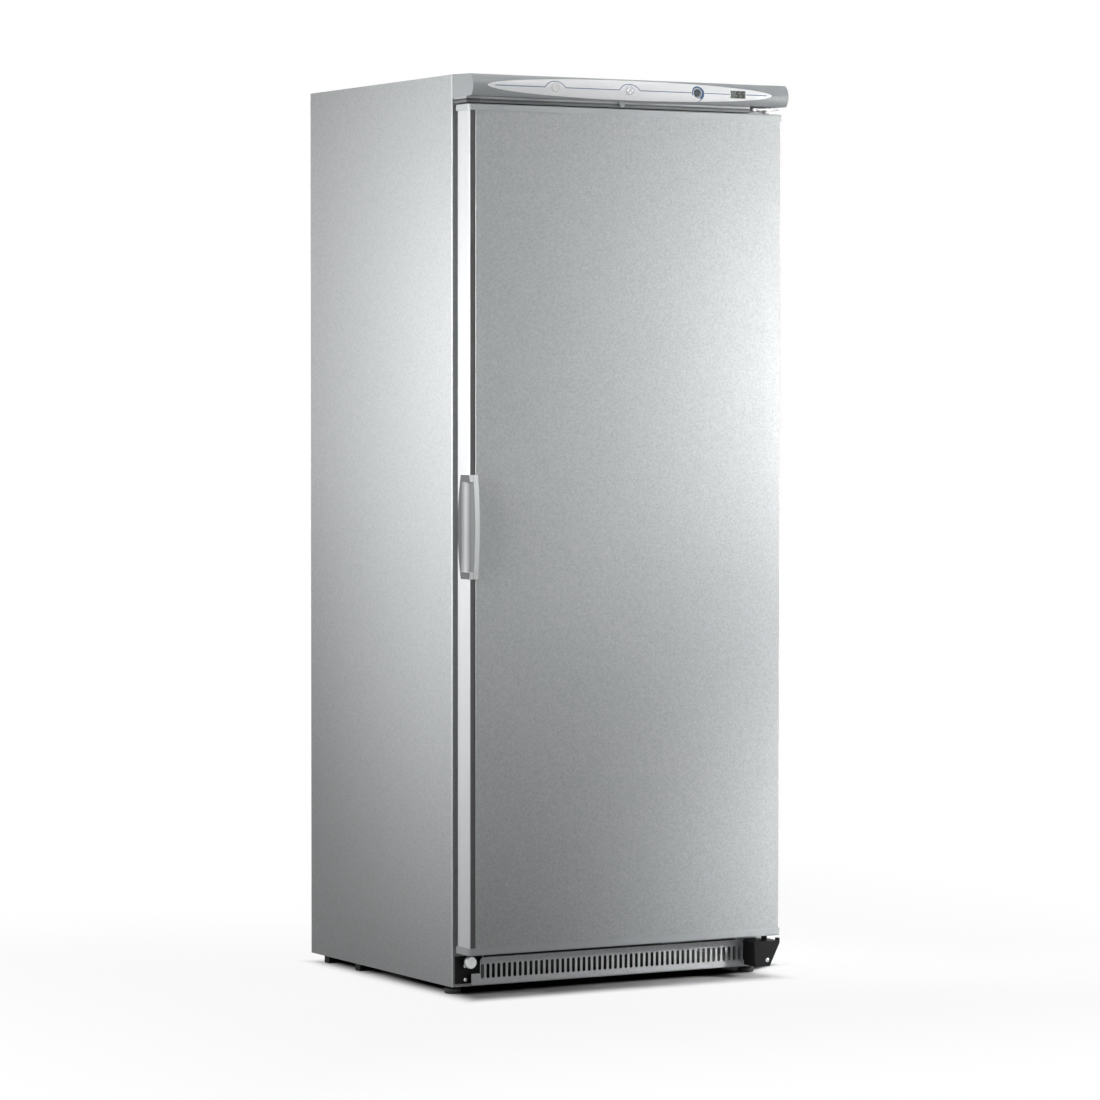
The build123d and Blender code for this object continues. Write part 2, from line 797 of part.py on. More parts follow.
# Melt water: a tube from the cabinet's floor into a tray over the compressor
melt_half_x = 62.0
melt_front = compressor_y - 52.0
melt_back = compressor_y + 62.0
melt_depth = 30.0
melt_wall = 2.0
melt_corner = 10.0
melt_top = pot_top + melt_depth
with BuildPart() as melt_tray:
    block(around(compressor_x, melt_half_x), (melt_front, melt_back), (pot_top, melt_top))
    fillet(melt_tray.edges().filter_by(Axis.Z), melt_corner)
    block(
        around(compressor_x, melt_half_x - melt_wall),
        (melt_front + melt_wall, melt_back - melt_wall),
        (pot_top + melt_wall, melt_top + past),
        Mode.SUBTRACT,
    )
save(melt_tray, "melt_tray")

drain_wall = 1.2
drain_flange = 14.0
drain_flange_sheet = 1.5
drain_dip = 10.0
drain_fit = 0.1
drain_low = melt_top - drain_dip
drain_high = step_z + drain_flange_sheet
with BuildPart() as drain_tube:
    post(drain_x, drain_y, (drain_low, step_z), drain_radius - drain_fit)
    post(drain_x, drain_y, (step_z, drain_high), drain_flange)
    post(drain_x, drain_y, beyond(drain_low, drain_high), drain_radius - drain_wall, Mode.SUBTRACT)
save(drain_tube, "drain_tube")

# Mains terminal box with the gland where the supply enters
gland_x = 210.0
gland_radius = 11.0
gland_bore = 5.0
gland_length = 16.0
gland_lift = 36.0
box_half = 34.0
box_depth = 62.0
box_height = 66.0
box_wall = 2.5
box_corner = 4.0
box_back = tray_back - 4.0
box_front = box_back - box_depth
gland_z = tray_top + gland_lift
gland_end = box_back + gland_length
with BuildPart() as terminal_box:
    block(around(gland_x, box_half), (box_front, box_back), (tray_top, tray_top + box_height))
    fillet(terminal_box.edges().filter_by(Axis.Z), box_corner)
    block(
        around(gland_x, box_half - box_wall),
        (box_front + box_wall, box_back - box_wall),
        (tray_top + box_wall, tray_top + box_height - box_wall),
        Mode.SUBTRACT,
    )
    spindle(gland_x, (box_back, gland_end), gland_z, gland_radius)
    spindle(gland_x, beyond(box_back - box_wall, gland_end), gland_z, gland_bore, Mode.SUBTRACT)
save(terminal_box, "terminal_box")

# Base frame at the front: a rail under the tunnel and two corner plates with welded nuts
rail_sheet = 2.5
rail_depth = 78.0
rail_lip = 11.0
corner_width = 64.0
corner_sheet = 3.0
foot_x = half_width - 21.0
foot_y = panel_y + 38.0
nut_height = 8.0
nut_radius = 9.0
rail_top = floor_gap + rail_sheet
nut_top = rail_top + nut_height
with BuildPart() as base_frame:
    block((-inner_half, inner_half), (frame_y, frame_y + rail_depth), (floor_gap, rail_top))
    corner_levels = (panel_y, panel_y + corner_sheet)
    block((-return_x, return_x), corner_levels, (floor_gap, floor_gap + rail_lip))
    for side in (-1, 1):
        block((side * (return_x - corner_width), side * return_x), corner_levels, (floor_gap, base_z))
        post(side * foot_x, foot_y, (rail_top, nut_top), nut_radius)
        stud_hole = foot_stud_radius + running_clearance
        post(side * foot_x, foot_y, beyond(floor_gap, nut_top), stud_hole, Mode.SUBTRACT)
save(base_frame, "base_frame")

# Levelling feet, whose studs run in the nuts of the base frame
stud_top = 62.0
foot_lower_edge = 1.5
foot_upper_edge = 2.5


def levelling_foot(side):
    with BuildPart() as foot:
        post(side * foot_x, foot_y, (0, foot_height), foot_radius)
        fillet(foot.edges().filter_by(GeomType.CIRCLE).group_by(Axis.Z)[0], foot_lower_edge)
        fillet(foot.edges().filter_by(GeomType.CIRCLE).group_by(Axis.Z)[-1], foot_upper_edge)
        post(side * foot_x, foot_y, (foot_height, stud_top), foot_stud_radius)
    return foot


front_foot_left = levelling_foot(-1)
save(front_foot_left, "front_foot_left")
front_foot_right = levelling_foot(1)
save(front_foot_right, "front_foot_right")

# Slotted grille in front of the air tunnel
grille_y = front_y + grille_setback
grille_sheet = 2.0
grille_rear = grille_y + grille_sheet
grille_half = half_width - 54.0
grille_tab = 20.0
grille_bottom = floor_gap + 4.5
grille_top = base_z - 5.0
grille_corner = 8.0
tab_top = grille_bottom + 23.0
return_half = grille_half - 22.0
slot_z = grille_bottom + 27.0
slot_margin = 2.0
slot_count = 1 + int((2 * (grille_half - slot_margin) - slot_width) / slot_pitch)
with BuildPart() as grille:
    with BuildSketch(Plane.XZ.offset(-grille_y)) as face:
        with Locations((0, (grille_bottom + grille_top) / 2)):
            Rectangle(2 * grille_half, grille_top - grille_bottom)
        fillet(face.vertices().group_by(Axis.Y)[-1], grille_corner)
        with Locations((0, (grille_bottom + tab_top) / 2)):
            Rectangle(2 * (grille_half + grille_tab), tab_top - grille_bottom)
        with Locations((0, slot_z)):
            with GridLocations(slot_pitch, 0, slot_count, 1):
                SlotOverall(slot_height, slot_width, rotation=90, mode=Mode.SUBTRACT)
    extrude(amount=-grille_sheet)
    for low in (grille_bottom, grille_top - grille_sheet):
        block((-return_half, return_half), (grille_rear, panel_y), (low, low + grille_sheet))
save(grille, "grille")

# Plate of the unused hinge position at the lower left, with the round cap on its stud
plate_y = panel_y - 4.0
hinge_plate_outer = half_width - 6.0
hinge_plate_inner = hinge_plate_outer - 61.0
hinge_plate_bottom = floor_gap + 6.5
hinge_plate_top = base_z - 2.0
screw_x = half_width - 28.0
screw_rows = (hinge_plate_bottom + 8.0, hinge_plate_bottom + 36.0)
screw_shank = 2.5
with BuildPart() as spare_hinge_plate:
    block(
        (-hinge_plate_outer, -hinge_plate_inner),
        (plate_y, panel_y),
        (hinge_plate_bottom, hinge_plate_top),
    )
    for row in screw_rows:
        spindle(-screw_x, beyond(plate_y, panel_y), row, screw_shank, Mode.SUBTRACT)
save(spare_hinge_plate, "spare_hinge_plate")

cap_radius = 12.75
cap_height = 8.0
cap_rim = 2.0
cap_stem_radius = 3.4
cap_recess = 13.0
cap_recess_width = 2.2
cap_recess_depth = 1.5
cap_x = -half_width + 31.5
cap_z = hinge_plate_bottom + 44.5
cap_front = panel_y - 24.0
with BuildPart() as spare_hinge_cap:
    spindle(cap_x, (cap_front, cap_front + cap_height), cap_z, cap_radius)
    fillet(front_rims(spare_hinge_cap), cap_rim)
    spindle(cap_x, (cap_front + cap_height, plate_y), cap_z, cap_stem_radius)
    with Locations((cap_x, cap_front, cap_z)):
        Box(cap_recess, 2 * cap_recess_depth, cap_recess_width, mode=Mode.SUBTRACT)
        Box(cap_recess_width, 2 * cap_recess_depth, cap_recess, mode=Mode.SUBTRACT)
save(spare_hinge_cap, "spare_hinge_cap")

# Bottom hinge: back plate, shelf, door stop, screw tab and pin in one welded bracket
ledge_drop = 12.0  # hinge shelf below the door
ledge_sheet = 4.0
ledge_width = 62.0
ledge_notch = 13.0
stop_width = 6.0
stop_depth = 9.0
stop_height = 6.0
collar_wall = 2.0
cover_wall = 2.5
tab_sheet = 3.0
tab_half = 6.0
tab_bottom = hinge_plate_bottom + 5.0
ledge_top = door_bottom - ledge_drop
ledge_bottom = ledge_top - ledge_sheet
ledge_right = half_width - 2.0
ledge_left = ledge_right - ledge_width
ledge_neck = ledge_left + ledge_notch
ledge_levels = (ledge_bottom, ledge_top)
ledge_back = grille_y - 2.0
tab_x = screw_x - 5.0
tab_y = door_front + cover_wall
cover_screw_z = hinge_plate_bottom + 13.0
with BuildPart() as bottom_hinge_bracket:
    block((ledge_neck, hinge_plate_outer), (plate_y, panel_y), (hinge_plate_bottom, ledge_top))
    block((ledge_neck, ledge_right), (ledge_back, plate_y), ledge_levels)
    block((ledge_left, ledge_right), (door_front, ledge_back), ledge_levels)
    block(
        (ledge_right - stop_width, ledge_right),
        (door_front, door_front + stop_depth),
        (ledge_top, ledge_top + stop_height),
    )
    block(around(tab_x, tab_half), (tab_y, tab_y + tab_sheet), (tab_bottom, ledge_bottom))
    collar_top = door_bottom - bush_flange - collar_gap
    post(hinge_x, hinge_y, (ledge_top, collar_top), pin_radius + collar_wall)
    post(hinge_x, hinge_y, (ledge_top, door_bottom + pin_reach), pin_radius)
    for row in screw_rows:
        spindle(screw_x, beyond(plate_y, panel_y), row, screw_shank, Mode.SUBTRACT)
    spindle(tab_x, beyond(tab_y, tab_y + tab_sheet), cover_screw_z, screw_shank, Mode.SUBTRACT)
save(bottom_hinge_bracket, "bottom_hinge_bracket")

# Cover under the hinge shelf, tapered towards its lower edge
cover_outline = [
    (ledge_left, ledge_bottom),
    (ledge_right, ledge_bottom),
    (ledge_right - 24.0, hinge_plate_bottom),
    (ledge_left + 3.0, hinge_plate_bottom),
]
with BuildPart() as hinge_cover:
    with BuildSketch(Plane.XZ.offset(-door_front)):
        Polygon(*cover_outline, align=None)
    extrude(amount=door_front - ledge_back)
    with BuildSketch(Plane.XZ.offset(-tab_y)):
        Polygon(*cover_outline, align=None)
        offset(amount=-cover_wall)
    extrude(amount=door_front - ledge_back, mode=Mode.SUBTRACT)
    block(
        (ledge_left + cover_wall, ledge_right - 3 * cover_wall),
        (tab_y, ledge_back + past),
        (ledge_bottom - cover_wall - past, ledge_top),
        Mode.SUBTRACT,
    )
    spindle(tab_x, beyond(door_front, tab_y), cover_screw_z, screw_shank, Mode.SUBTRACT)
save(hinge_cover, "hinge_cover")

# Top hinge: a plated bracket with its pin pointing down
top_plate_sheet = 3.0
top_plate_lift = 8.5  # bracket above the door
top_plate_width = 64.0
top_plate_front = door_front + 5.0
top_plate_right = half_width - 5.0
top_plate_left = top_plate_right - top_plate_width
top_plate_z = door_top + top_plate_lift
top_plate_levels = (top_plate_z, top_plate_z + top_plate_sheet)
top_screws = (top_plate_left + 7.0, top_plate_left + 22.5)
top_screw_y = top_plate_front + 10.0
with BuildPart() as top_hinge_bracket:
    block((top_plate_left, top_plate_right), (top_plate_front, panel_y), top_plate_levels)
    block(
        (top_plate_left, return_x),
        (panel_y - top_plate_sheet, panel_y),
        (top_plate_z, housing_bottom),
    )
    collar_levels = (door_top + bush_flange + collar_gap, top_plate_z)
    post(hinge_x, hinge_y, collar_levels, pin_radius + collar_wall)
    post(hinge_x, hinge_y, (door_top - pin_reach, top_plate_z), pin_radius)
    for x in top_screws:
        post(x, top_screw_y, beyond(*top_plate_levels), screw_shank, Mode.SUBTRACT)
save(top_hinge_bracket, "top_hinge_bracket")

# Screws: pan heads on the hinge plates, the hinge cover, the top hinge and the back panel
head_radius = 4.5
head_height = 3.0
back_screw_x = half_width - 30.0
back_screw_rows = (bay_top + 20.0, (bay_top + top_z) / 2, top_z - 60.0)
with BuildPart() as screws:
    for side in (-1, 1):
        for row in screw_rows:
            spindle(side * screw_x, (plate_y - head_height, plate_y), row, head_radius)
            spindle(side * screw_x, (plate_y, panel_y), row, screw_shank)
        for row in back_screw_rows:
            spindle(side * back_screw_x, (back_y, back_y + head_height), row, head_radius)
    spindle(tab_x, (door_front - head_height, door_front), cover_screw_z, head_radius)
    spindle(tab_x, (door_front, tab_y + tab_sheet), cover_screw_z, screw_shank)
    for x in top_screws:
        post(x, top_screw_y, (top_plate_z - head_height, top_plate_z), head_radius)
        post(x, top_screw_y, top_plate_levels, screw_shank)
save(screws, "screws")

# Front curve of the control housing: the circle through its brow, nose and chin
brow = (front_y + brow_setback, top_z - brow_drop)
chin = (front_y + chin_setback, housing_bottom)
nose = (nose_y, (brow[1] + chin[1]) / 2)


def circle_through(a, b, c):
    """Centre and radius of the circle through three points of a plane."""
    det = 2 * (a[0] * (b[1] - c[1]) + b[0] * (c[1] - a[1]) + c[0] * (a[1] - b[1]))
    square_a, square_b, square_c = (p[0] ** 2 + p[1] ** 2 for p in (a, b, c))
    x = (square_a * (b[1] - c[1]) + square_b * (c[1] - a[1]) + square_c * (a[1] - b[1])) / det
    y = (square_a * (c[0] - b[0]) + square_b * (a[0] - c[0]) + square_c * (b[0] - a[0])) / det
    return (x, y), math.dist((x, y), a)


curve_centre, curve_radius = circle_through(brow, nose, chin)


def housing_outline(x, rear, wall=0.0):
    """Side outline of the control housing in the plane at x, or of its hollow inside a wall."""
    with BuildSketch(Plane.YZ.offset(x)) as outline:
        with BuildLine():
            Line((rear, housing_bottom), chin)
            ThreePointArc(chin, nose, brow)
            Line(brow, (rear, top_z))
            Line((rear, top_z), (rear, housing_bottom))
        make_face()
        if wall:
            offset(amount=-wall)
    return outline


def front_lens(x, half_wide, half_high):
    """Elliptical slice of the housing's curved front, as deep as the label's seat."""
    face_depth = brow_setback + chin_setback
    with BuildPart() as lens:
        with BuildSketch(Plane.YZ.offset(x - half_wide)):
            with Locations(curve_centre):
                Circle(curve_radius)
                Circle(curve_radius - label_depth, mode=Mode.SUBTRACT)
            with Locations((front_y, label_z)):
                Rectangle(2 * face_depth, control_height, mode=Mode.INTERSECT)
        extrude(amount=2 * half_wide)
        with BuildSketch(Plane.XZ.offset(-front_y)):
            with Locations((x, label_z)):
                Ellipse(half_wide, half_high)
        extrude(amount=-face_depth, mode=Mode.INTERSECT)
    return lens


# Places behind the fascia
chassis_y = front_y + 25.0
chassis_back = chassis_y + sheet
switch_front = chassis_y - 12.5
label_gap = 0.2
control_gap = 0.3
button_hole = button_radius + control_gap
lock_hole = lock_radius + label_gap / 2
knob_hole = knob_radius + control_gap
label_half_height = control_height / 2 - label_rim
bush_outer = bolt_radius + 2.5
bush_head = bush_outer + 2.0
bush_head_height = 1.5
bush_drop = 9.5  # bolt's guide below the housing


def fascia_holes():
    """Cut the holes of the button, lock, knob and display through the current part."""
    reach = (front_y - past, switch_front)
    spindle(button_x, reach, label_z, button_hole, Mode.SUBTRACT)
    spindle(lock_x, reach, label_z, lock_hole, Mode.SUBTRACT)
    spindle(knob_x, reach, label_z, knob_hole, Mode.SUBTRACT)
    block(
        around(display_x, display_width / 2),
        reach,
        around(label_z, display_height / 2),
        Mode.SUBTRACT,
    )


# Control housing with the shallow seat of the label in its front
label_seat = front_lens(seat_x, half_width - seat_side, label_half_height + label_gap)
with BuildPart() as control_housing:
    extrude(housing_outline(-half_width, panel_y).sketch, amount=body_width)
    hollow_rear = panel_y + 2 * housing_sheet
    hollow = housing_outline(-half_width + housing_sheet, hollow_rear, housing_sheet)
    extrude(hollow.sketch, amount=body_width - 2 * housing_sheet, mode=Mode.SUBTRACT)
    add(label_seat.part, mode=Mode.SUBTRACT)
    fascia_holes()
    guide_span = beyond(housing_bottom, housing_bottom + housing_sheet)
    post(lock_x, bolt_y, guide_span, bush_outer, Mode.SUBTRACT)
save(control_housing, "control_housing")

# Printed label panel, let into the seat
label_lens = front_lens(label_x, half_width - label_side, label_half_height)
with BuildPart() as label_panel:
    add(label_lens.part)
    fascia_holes()
save(label_panel, "label_panel")

# Steel chassis inside the housing that carries the controls
chassis_top = top_z - 7.0
chassis_bottom = housing_bottom + housing_sheet + 2.0
chassis_half = half_width - 27.0
barrel_neck = 6.0
with BuildPart() as control_chassis:
    block((-chassis_half, chassis_half), (chassis_y, chassis_back), (chassis_bottom, chassis_top))
    block((-chassis_half, chassis_half), (chassis_y, panel_y), (chassis_top - sheet, chassis_top))
    spindle(lock_x, beyond(chassis_y, chassis_back), label_z, barrel_neck, Mode.SUBTRACT)
save(control_chassis, "control_chassis")

# Power button, held behind the fascia by its flange
control_edge = 0.8
stem_radius = 3.0
button_flange = 2.0
button_flange_width = 1.5
button_flange_y = nose_y + housing_sheet + 3.0
button_stem_end = chassis_y - 9.0
with BuildPart() as power_button:
    spindle(button_x, (front_y, button_flange_y), label_z, button_radius)
    fillet(front_rims(power_button), control_edge)
    flange_end = button_flange_y + button_flange
    spindle(button_x, (button_flange_y, flange_end), label_z, button_radius + button_flange_width)
    spindle(button_x, (flange_end, button_stem_end), label_z, stem_radius)
save(power_button, "power_button")

# Switch of the button and body of the thermostat, on the chassis
switch_half = 14.0
switch_half_height = 12.0
thermostat_half = 18.0
thermostat_half_height = 14.0
stem_room = 0.5
stem_bore = stem_radius + running_clearance
knob_stem_end = chassis_y - 6.0
with BuildPart() as control_switches:
    block(
        around(button_x, switch_half),
        (switch_front, chassis_y),
        around(label_z, switch_half_height),
    )
    block(
        around(knob_x, thermostat_half),
        (switch_front, chassis_y),
        around(label_z, thermostat_half_height),
    )
    button_end = button_stem_end + button_travel + stem_room
    spindle(button_x, (switch_front - past, button_end), label_z, stem_bore, Mode.SUBTRACT)
    knob_end = knob_stem_end + stem_room
    spindle(knob_x, (switch_front - past, knob_end), label_z, stem_bore, Mode.SUBTRACT)
save(control_switches, "control_switches")

# Thermostat knob with a coin slot
knob_depth = 7.0
coin_slot_half = 6.0
coin_slot_half_width = 0.9
coin_slot_depth = 1.5
with BuildPart() as thermostat_knob:
    spindle(knob_x, (front_y, front_y + knob_depth), label_z, knob_radius)
    fillet(front_rims(thermostat_knob), control_edge)
    spindle(knob_x, (front_y + knob_depth, knob_stem_end), label_z, stem_radius)
    block(
        around(knob_x, coin_slot_half),
        (front_y - past, front_y + coin_slot_depth),
        around(label_z, coin_slot_half_width),
        Mode.SUBTRACT,
    )
save(thermostat_knob, "thermostat_knob")

# Temperature display: a window in the fascia on its module
window_sink = 0.4
module_half = 22.0
with BuildPart() as display_unit:
    block(
        around(display_x, display_width / 2 - label_gap),
        (nose_y + window_sink, switch_front),
        around(label_z, display_height / 2 - label_gap),
    )
    block(around(display_x, module_half), (switch_front, chassis_y), around(label_z, switch_half_height))
save(display_unit, "display_unit")

# Lock: barrel in the chassis, plug with its crank, and the bolt that the crank drives down
barrel_sink = 0.5
plug_sink = 0.8
keyway_half = 0.6
keyway_half_height = 3.0
keyway_depth = 12.0
crank_throw = bolt_travel
crank_gap = 0.6
crank_sheet = 3.0
crank_half = 3.0
crank_pin_radius = 1.5
crank_front = chassis_back + crank_gap
crank_back = crank_front + crank_sheet
yoke_half = 2.0
pin_x = lock_x + crank_throw
with BuildPart() as lock_barrel:
    spindle(lock_x, (front_y + barrel_sink, chassis_y), label_z, lock_radius)
    spindle(lock_x, (chassis_y, chassis_back), label_z, barrel_neck)
    plug_bore = plug_radius + running_clearance
    spindle(lock_x, beyond(front_y, chassis_back), label_z, plug_bore, Mode.SUBTRACT)
save(lock_barrel, "lock_barrel")

with BuildPart() as lock_plug:
    spindle(lock_x, (front_y + plug_sink, crank_back), label_z, plug_radius)
    block((lock_x, pin_x), (crank_front, crank_back), around(label_z, crank_half))
    spindle(pin_x, (crank_front, crank_back), label_z, crank_half)
    spindle(pin_x, (crank_back, bolt_y + yoke_half), label_z, crank_pin_radius)
    block(
        around(lock_x, keyway_half),
        (front_y, front_y + keyway_depth),
        around(label_z, keyway_half_height),
        Mode.SUBTRACT,
    )
save(lock_plug, "lock_plug")

# The crank pin and the bolt part by up to this much half-way, so the window has that room
crank_lag = 1.9
window_gap = 0.4
yoke_wall = 4.0
bolt_chamfer = 0.8
bolt_low = door_top + bolt_gap
window_low = label_z - crank_pin_radius - crank_lag - window_gap
window_high = label_z + crank_pin_radius + window_gap
window_side = crank_pin_radius + window_gap
with BuildPart() as lock_bolt:
    post(lock_x, bolt_y, (bolt_low, window_low - yoke_wall), bolt_radius)
    chamfer(lock_bolt.edges().filter_by(GeomType.CIRCLE).group_by(Axis.Z)[0], bolt_chamfer)
    block(
        (lock_x - yoke_wall - window_side, pin_x + window_side + yoke_wall),
        around(bolt_y, yoke_half),
        (window_low - yoke_wall, window_high + yoke_wall),
    )
    block(
        (lock_x - window_side, pin_x + window_side),
        beyond(*around(bolt_y, yoke_half)),
        (window_low, window_high),
        Mode.SUBTRACT,
    )
save(lock_bolt, "lock_bolt")

with BuildPart() as bolt_guide:
    guide_low = housing_bottom - bush_drop
    guide_seat = housing_bottom + housing_sheet
    guide_high = guide_seat + bush_head_height
    post(lock_x, bolt_y, (guide_low, guide_seat), bush_outer)
    post(lock_x, bolt_y, (guide_seat, guide_high), bush_head)
    guide_bore = bolt_radius + running_clearance
    post(lock_x, bolt_y, beyond(guide_low, guide_high), guide_bore, Mode.SUBTRACT)
save(bolt_guide, "bolt_guide")

# Trim strip under the housing, a channel with a groove along its face
trim_inset = 3.0
trim_sheet = 2.0
trim_groove = 0.8
trim_groove_lift = 4.0
trim_groove_width = 4.0
trim_front = front_y + 36.0
trim_bottom = door_top + 3.0
trim_left = -half_width + trim_inset
trim_right = top_plate_left - trim_inset
with BuildPart() as lower_trim:
    block((trim_left, trim_right), (trim_front, panel_y), (trim_bottom, housing_bottom))
    block(
        (trim_left + trim_sheet, trim_right + past),
        (trim_front + trim_sheet, panel_y + past),
        (trim_bottom + trim_sheet, housing_bottom - trim_sheet),
        Mode.SUBTRACT,
    )
    groove_low = trim_bottom + trim_groove_lift
    block(
        beyond(trim_left, trim_right),
        (trim_front - past, trim_front + trim_groove),
        (groove_low, groove_low + trim_groove_width),
        Mode.SUBTRACT,
    )
    post(lock_x, bolt_y, beyond(trim_bottom, housing_bottom), bush_outer, Mode.SUBTRACT)
save(lower_trim, "lower_trim")

# Places of the handle in the door's edge
handle_low = handle_centre_z - handle_height / 2
handle_high = handle_centre_z + handle_height / 2
handle_levels = (handle_low, handle_high)
handle_face = door_front - handle_proud
handle_rear = door_front + handle_depth
rim_outer = -door_half - handle_proud
bar_left = -door_half + bar_inset
bar_right = strip_right + handle_overlap
bar_rear = door_front + bar_thickness
cup_floor = -door_half + cup_reach
cup_right = cup_floor + cup_wall
cup_front = door_front + sheet


def clear_handle():
    """Cut the room of the handle's cup out of the current part."""
    block((-door_half - past, strip_right), (door_front - past, handle_rear), handle_levels, Mode.SUBTRACT)
    block((-door_half - past, cup_right), (cup_front, handle_rear), handle_levels, Mode.SUBTRACT)


# Door skin: one folded sheet, rounded at the hinge side and turned in beside the edge strip
with BuildPart() as door_skin:
    with BuildSketch(Plane.XY.offset(skin_bottom)):
        with BuildLine():
            FilletPolyline(
                (strip_right, door_front + skin_return),
                (strip_right, door_front),
                (door_half, door_front),
                (door_half, liner_front),
                radius=[return_bend, skin_bend],
            )
            offset(amount=sheet, side=Side.LEFT)
        make_face()
    extrude(amount=skin_top - skin_bottom)
    clear_handle()
save(door_skin, "door_skin")


def bowed_face(x, rear_y, rear_bow):
    """Outline of the handle from the side at x, bowed at its front and by rear_bow at its rear."""
    with BuildSketch(Plane.YZ.offset(x)) as face_of_handle:
        with BuildLine():
            ThreePointArc(
                (handle_face, handle_low),
                (handle_face - handle_bow_front, handle_centre_z),
                (handle_face, handle_high),
            )
            Line((handle_face, handle_high), (rear_y, handle_high))
            if rear_bow:
                ThreePointArc(
                    (rear_y, handle_high),
                    (rear_y + rear_bow, handle_centre_z),
                    (rear_y, handle_low),
                )
            else:
                Line((rear_y, handle_high), (rear_y, handle_low))
            Line((rear_y, handle_low), (handle_face, handle_low))
        make_face()
    return face_of_handle


# Handle: a scooped cup let into the door's edge, framed by a rim and a bowed front bar
scoop_mid = (-door_half + 17.5, handle_rear - 9.5)
scoop_rear = handle_rear - cup_back
scoop_front = bar_rear + cup_lip
with BuildPart() as door_handle:
    extrude(bowed_face(rim_outer, handle_rear, handle_bow_rear).sketch, amount=handle_proud)
    extrude(bowed_face(rim_outer, door_front, 0.0).sketch, amount=bar_right - rim_outer)
    block((-door_half, strip_right), (door_front, handle_rear), handle_levels)
    block((-door_half, cup_right), (cup_front, handle_rear), handle_levels)
    with BuildSketch(Plane.XY.offset(handle_low + handle_end_block)):
        with BuildLine():
            Line((rim_outer - past, scoop_rear), (-door_half, scoop_rear))
            ThreePointArc((-door_half, scoop_rear), scoop_mid, (cup_floor, scoop_front))
            Line((cup_floor, scoop_front), (cup_floor, bar_rear))
            Line((cup_floor, bar_rear), (bar_left, bar_rear))
            Line((bar_left, bar_rear), (bar_left, front_y))
            Line((bar_left, front_y), (rim_outer - past, front_y))
            Line((rim_outer - past, front_y), (rim_outer - past, scoop_rear))
        make_face()
    extrude(amount=handle_height - 2 * handle_end_block, mode=Mode.SUBTRACT)
save(door_handle, "door_handle")

# Bright profile on the free edge of the door
profile_edge = 1.0
with BuildPart() as door_edge_profile:
    block((-door_half, profile_right), (door_front, liner_front), (skin_bottom, skin_top))
    upright = door_edge_profile.edges().filter_by(Axis.Z)
    fillet(upright.group_by(Axis.Y)[0].group_by(Axis.X)[0], profile_edge)
    clear_handle()
save(door_edge_profile, "door_edge_profile")

# Dark strip sunk between the edge profile and the skin, above and below the handle
strip_front = door_front + edge_strip_recess
with BuildPart() as door_edge_strip:
    block(
        (profile_right, strip_right),
        (strip_front, strip_front + edge_strip_sheet),
        (skin_bottom, skin_top),
    )
    clear_handle()
save(door_edge_strip, "door_edge_strip")

# End caps of the door, hollow towards the foam, with bosses at the hinge and the lock
bush_radius = pin_radius + bush_wall
boss_wall = 4.0
strike_half_x = 7.0
strike_half_y = 5.5
strike_wall = 4.0
cap_y = (door_front - cap_proud, door_back)


def door_cap(low, high, closed_side):
    """End cap between two levels, closed at its outer side: 1 for a top cap, -1 for a bottom one."""
    hollow = (low - past, high - cap_wall) if closed_side > 0 else (low + cap_wall, high + past)
    with BuildPart() as cap:
        block(around(0, door_half + cap_overhang), cap_y, (low, high))
        fillet(cap.edges().filter_by(Axis.Z).group_by(Axis.Y)[0], cap_corner)
        outer_face = cap.faces().filter_by(Axis.Z).sort_by(Axis.Z)[-1 if closed_side > 0 else 0]
        fillet(outer_face.edges(), cap_edge)
        block(
            around(0, door_half - cap_wall),
            (door_front + cap_wall, door_back - cap_wall),
            hollow,
            Mode.SUBTRACT,
        )
        post(hinge_x, hinge_y, (low, high), bush_radius + boss_wall)
        post(hinge_x, hinge_y, beyond(low, high), bush_radius, Mode.SUBTRACT)
        if closed_side > 0:
            block(
                around(lock_x, strike_half_x + strike_wall),
                (door_front + cap_edge, bolt_y + strike_half_y + strike_wall),
                (low, high),
            )
            block(
                around(lock_x, strike_half_x),
                around(bolt_y, strike_half_y),
                beyond(low, high),
                Mode.SUBTRACT,
            )
    return cap


door_top_cap = door_cap(skin_top, door_top, 1)
save(door_top_cap, "door_top_cap")
door_bottom_cap = door_cap(door_bottom, skin_bottom, -1)
save(door_bottom_cap, "door_bottom_cap")

# Bushes that the hinge pins turn in
bush_head_width = 2.0
with BuildPart() as hinge_bushes:
    post(hinge_x, hinge_y, (skin_top, door_top), bush_radius)
    post(hinge_x, hinge_y, (door_top, door_top + bush_flange), bush_radius + bush_head_width)
    post(hinge_x, hinge_y, (door_bottom, skin_bottom), bush_radius)
    post(hinge_x, hinge_y, (door_bottom - bush_flange, door_bottom), bush_radius + bush_head_width)
    post(hinge_x, hinge_y, (0, top_z), pin_radius + running_clearance, Mode.SUBTRACT)
save(hinge_bushes, "hinge_bushes")

# Door liner: a flat sheet with a raised pan that reaches into the cabinet
foam_x = (profile_right, door_half - sheet)
pan_half = door_half - pan_margin
pan_low = cavity_floor + pan_end_margin
pan_high = cavity_top - pan_end_margin


def pan_shape(y, inset):
    """Rounded outline of the pan in the plane at y, smaller by inset all round."""
    with BuildSketch(Plane.XZ.offset(-y)) as outline:
        with Locations((0, (pan_low + pan_high) / 2)):
            RectangleRounded(2 * (pan_half - inset), pan_high - pan_low - 2 * inset, pan_corner - inset)
    return outline


with BuildPart() as door_liner:
    block(foam_x, (liner_front, door_back), (skin_bottom, skin_top))
    extrude(pan_shape(door_back, 0.0).sketch, amount=-pan_depth)
    extrude(pan_shape(liner_front, liner_sheet).sketch, amount=-pan_depth, mode=Mode.SUBTRACT)
save(door_liner, "door_liner")

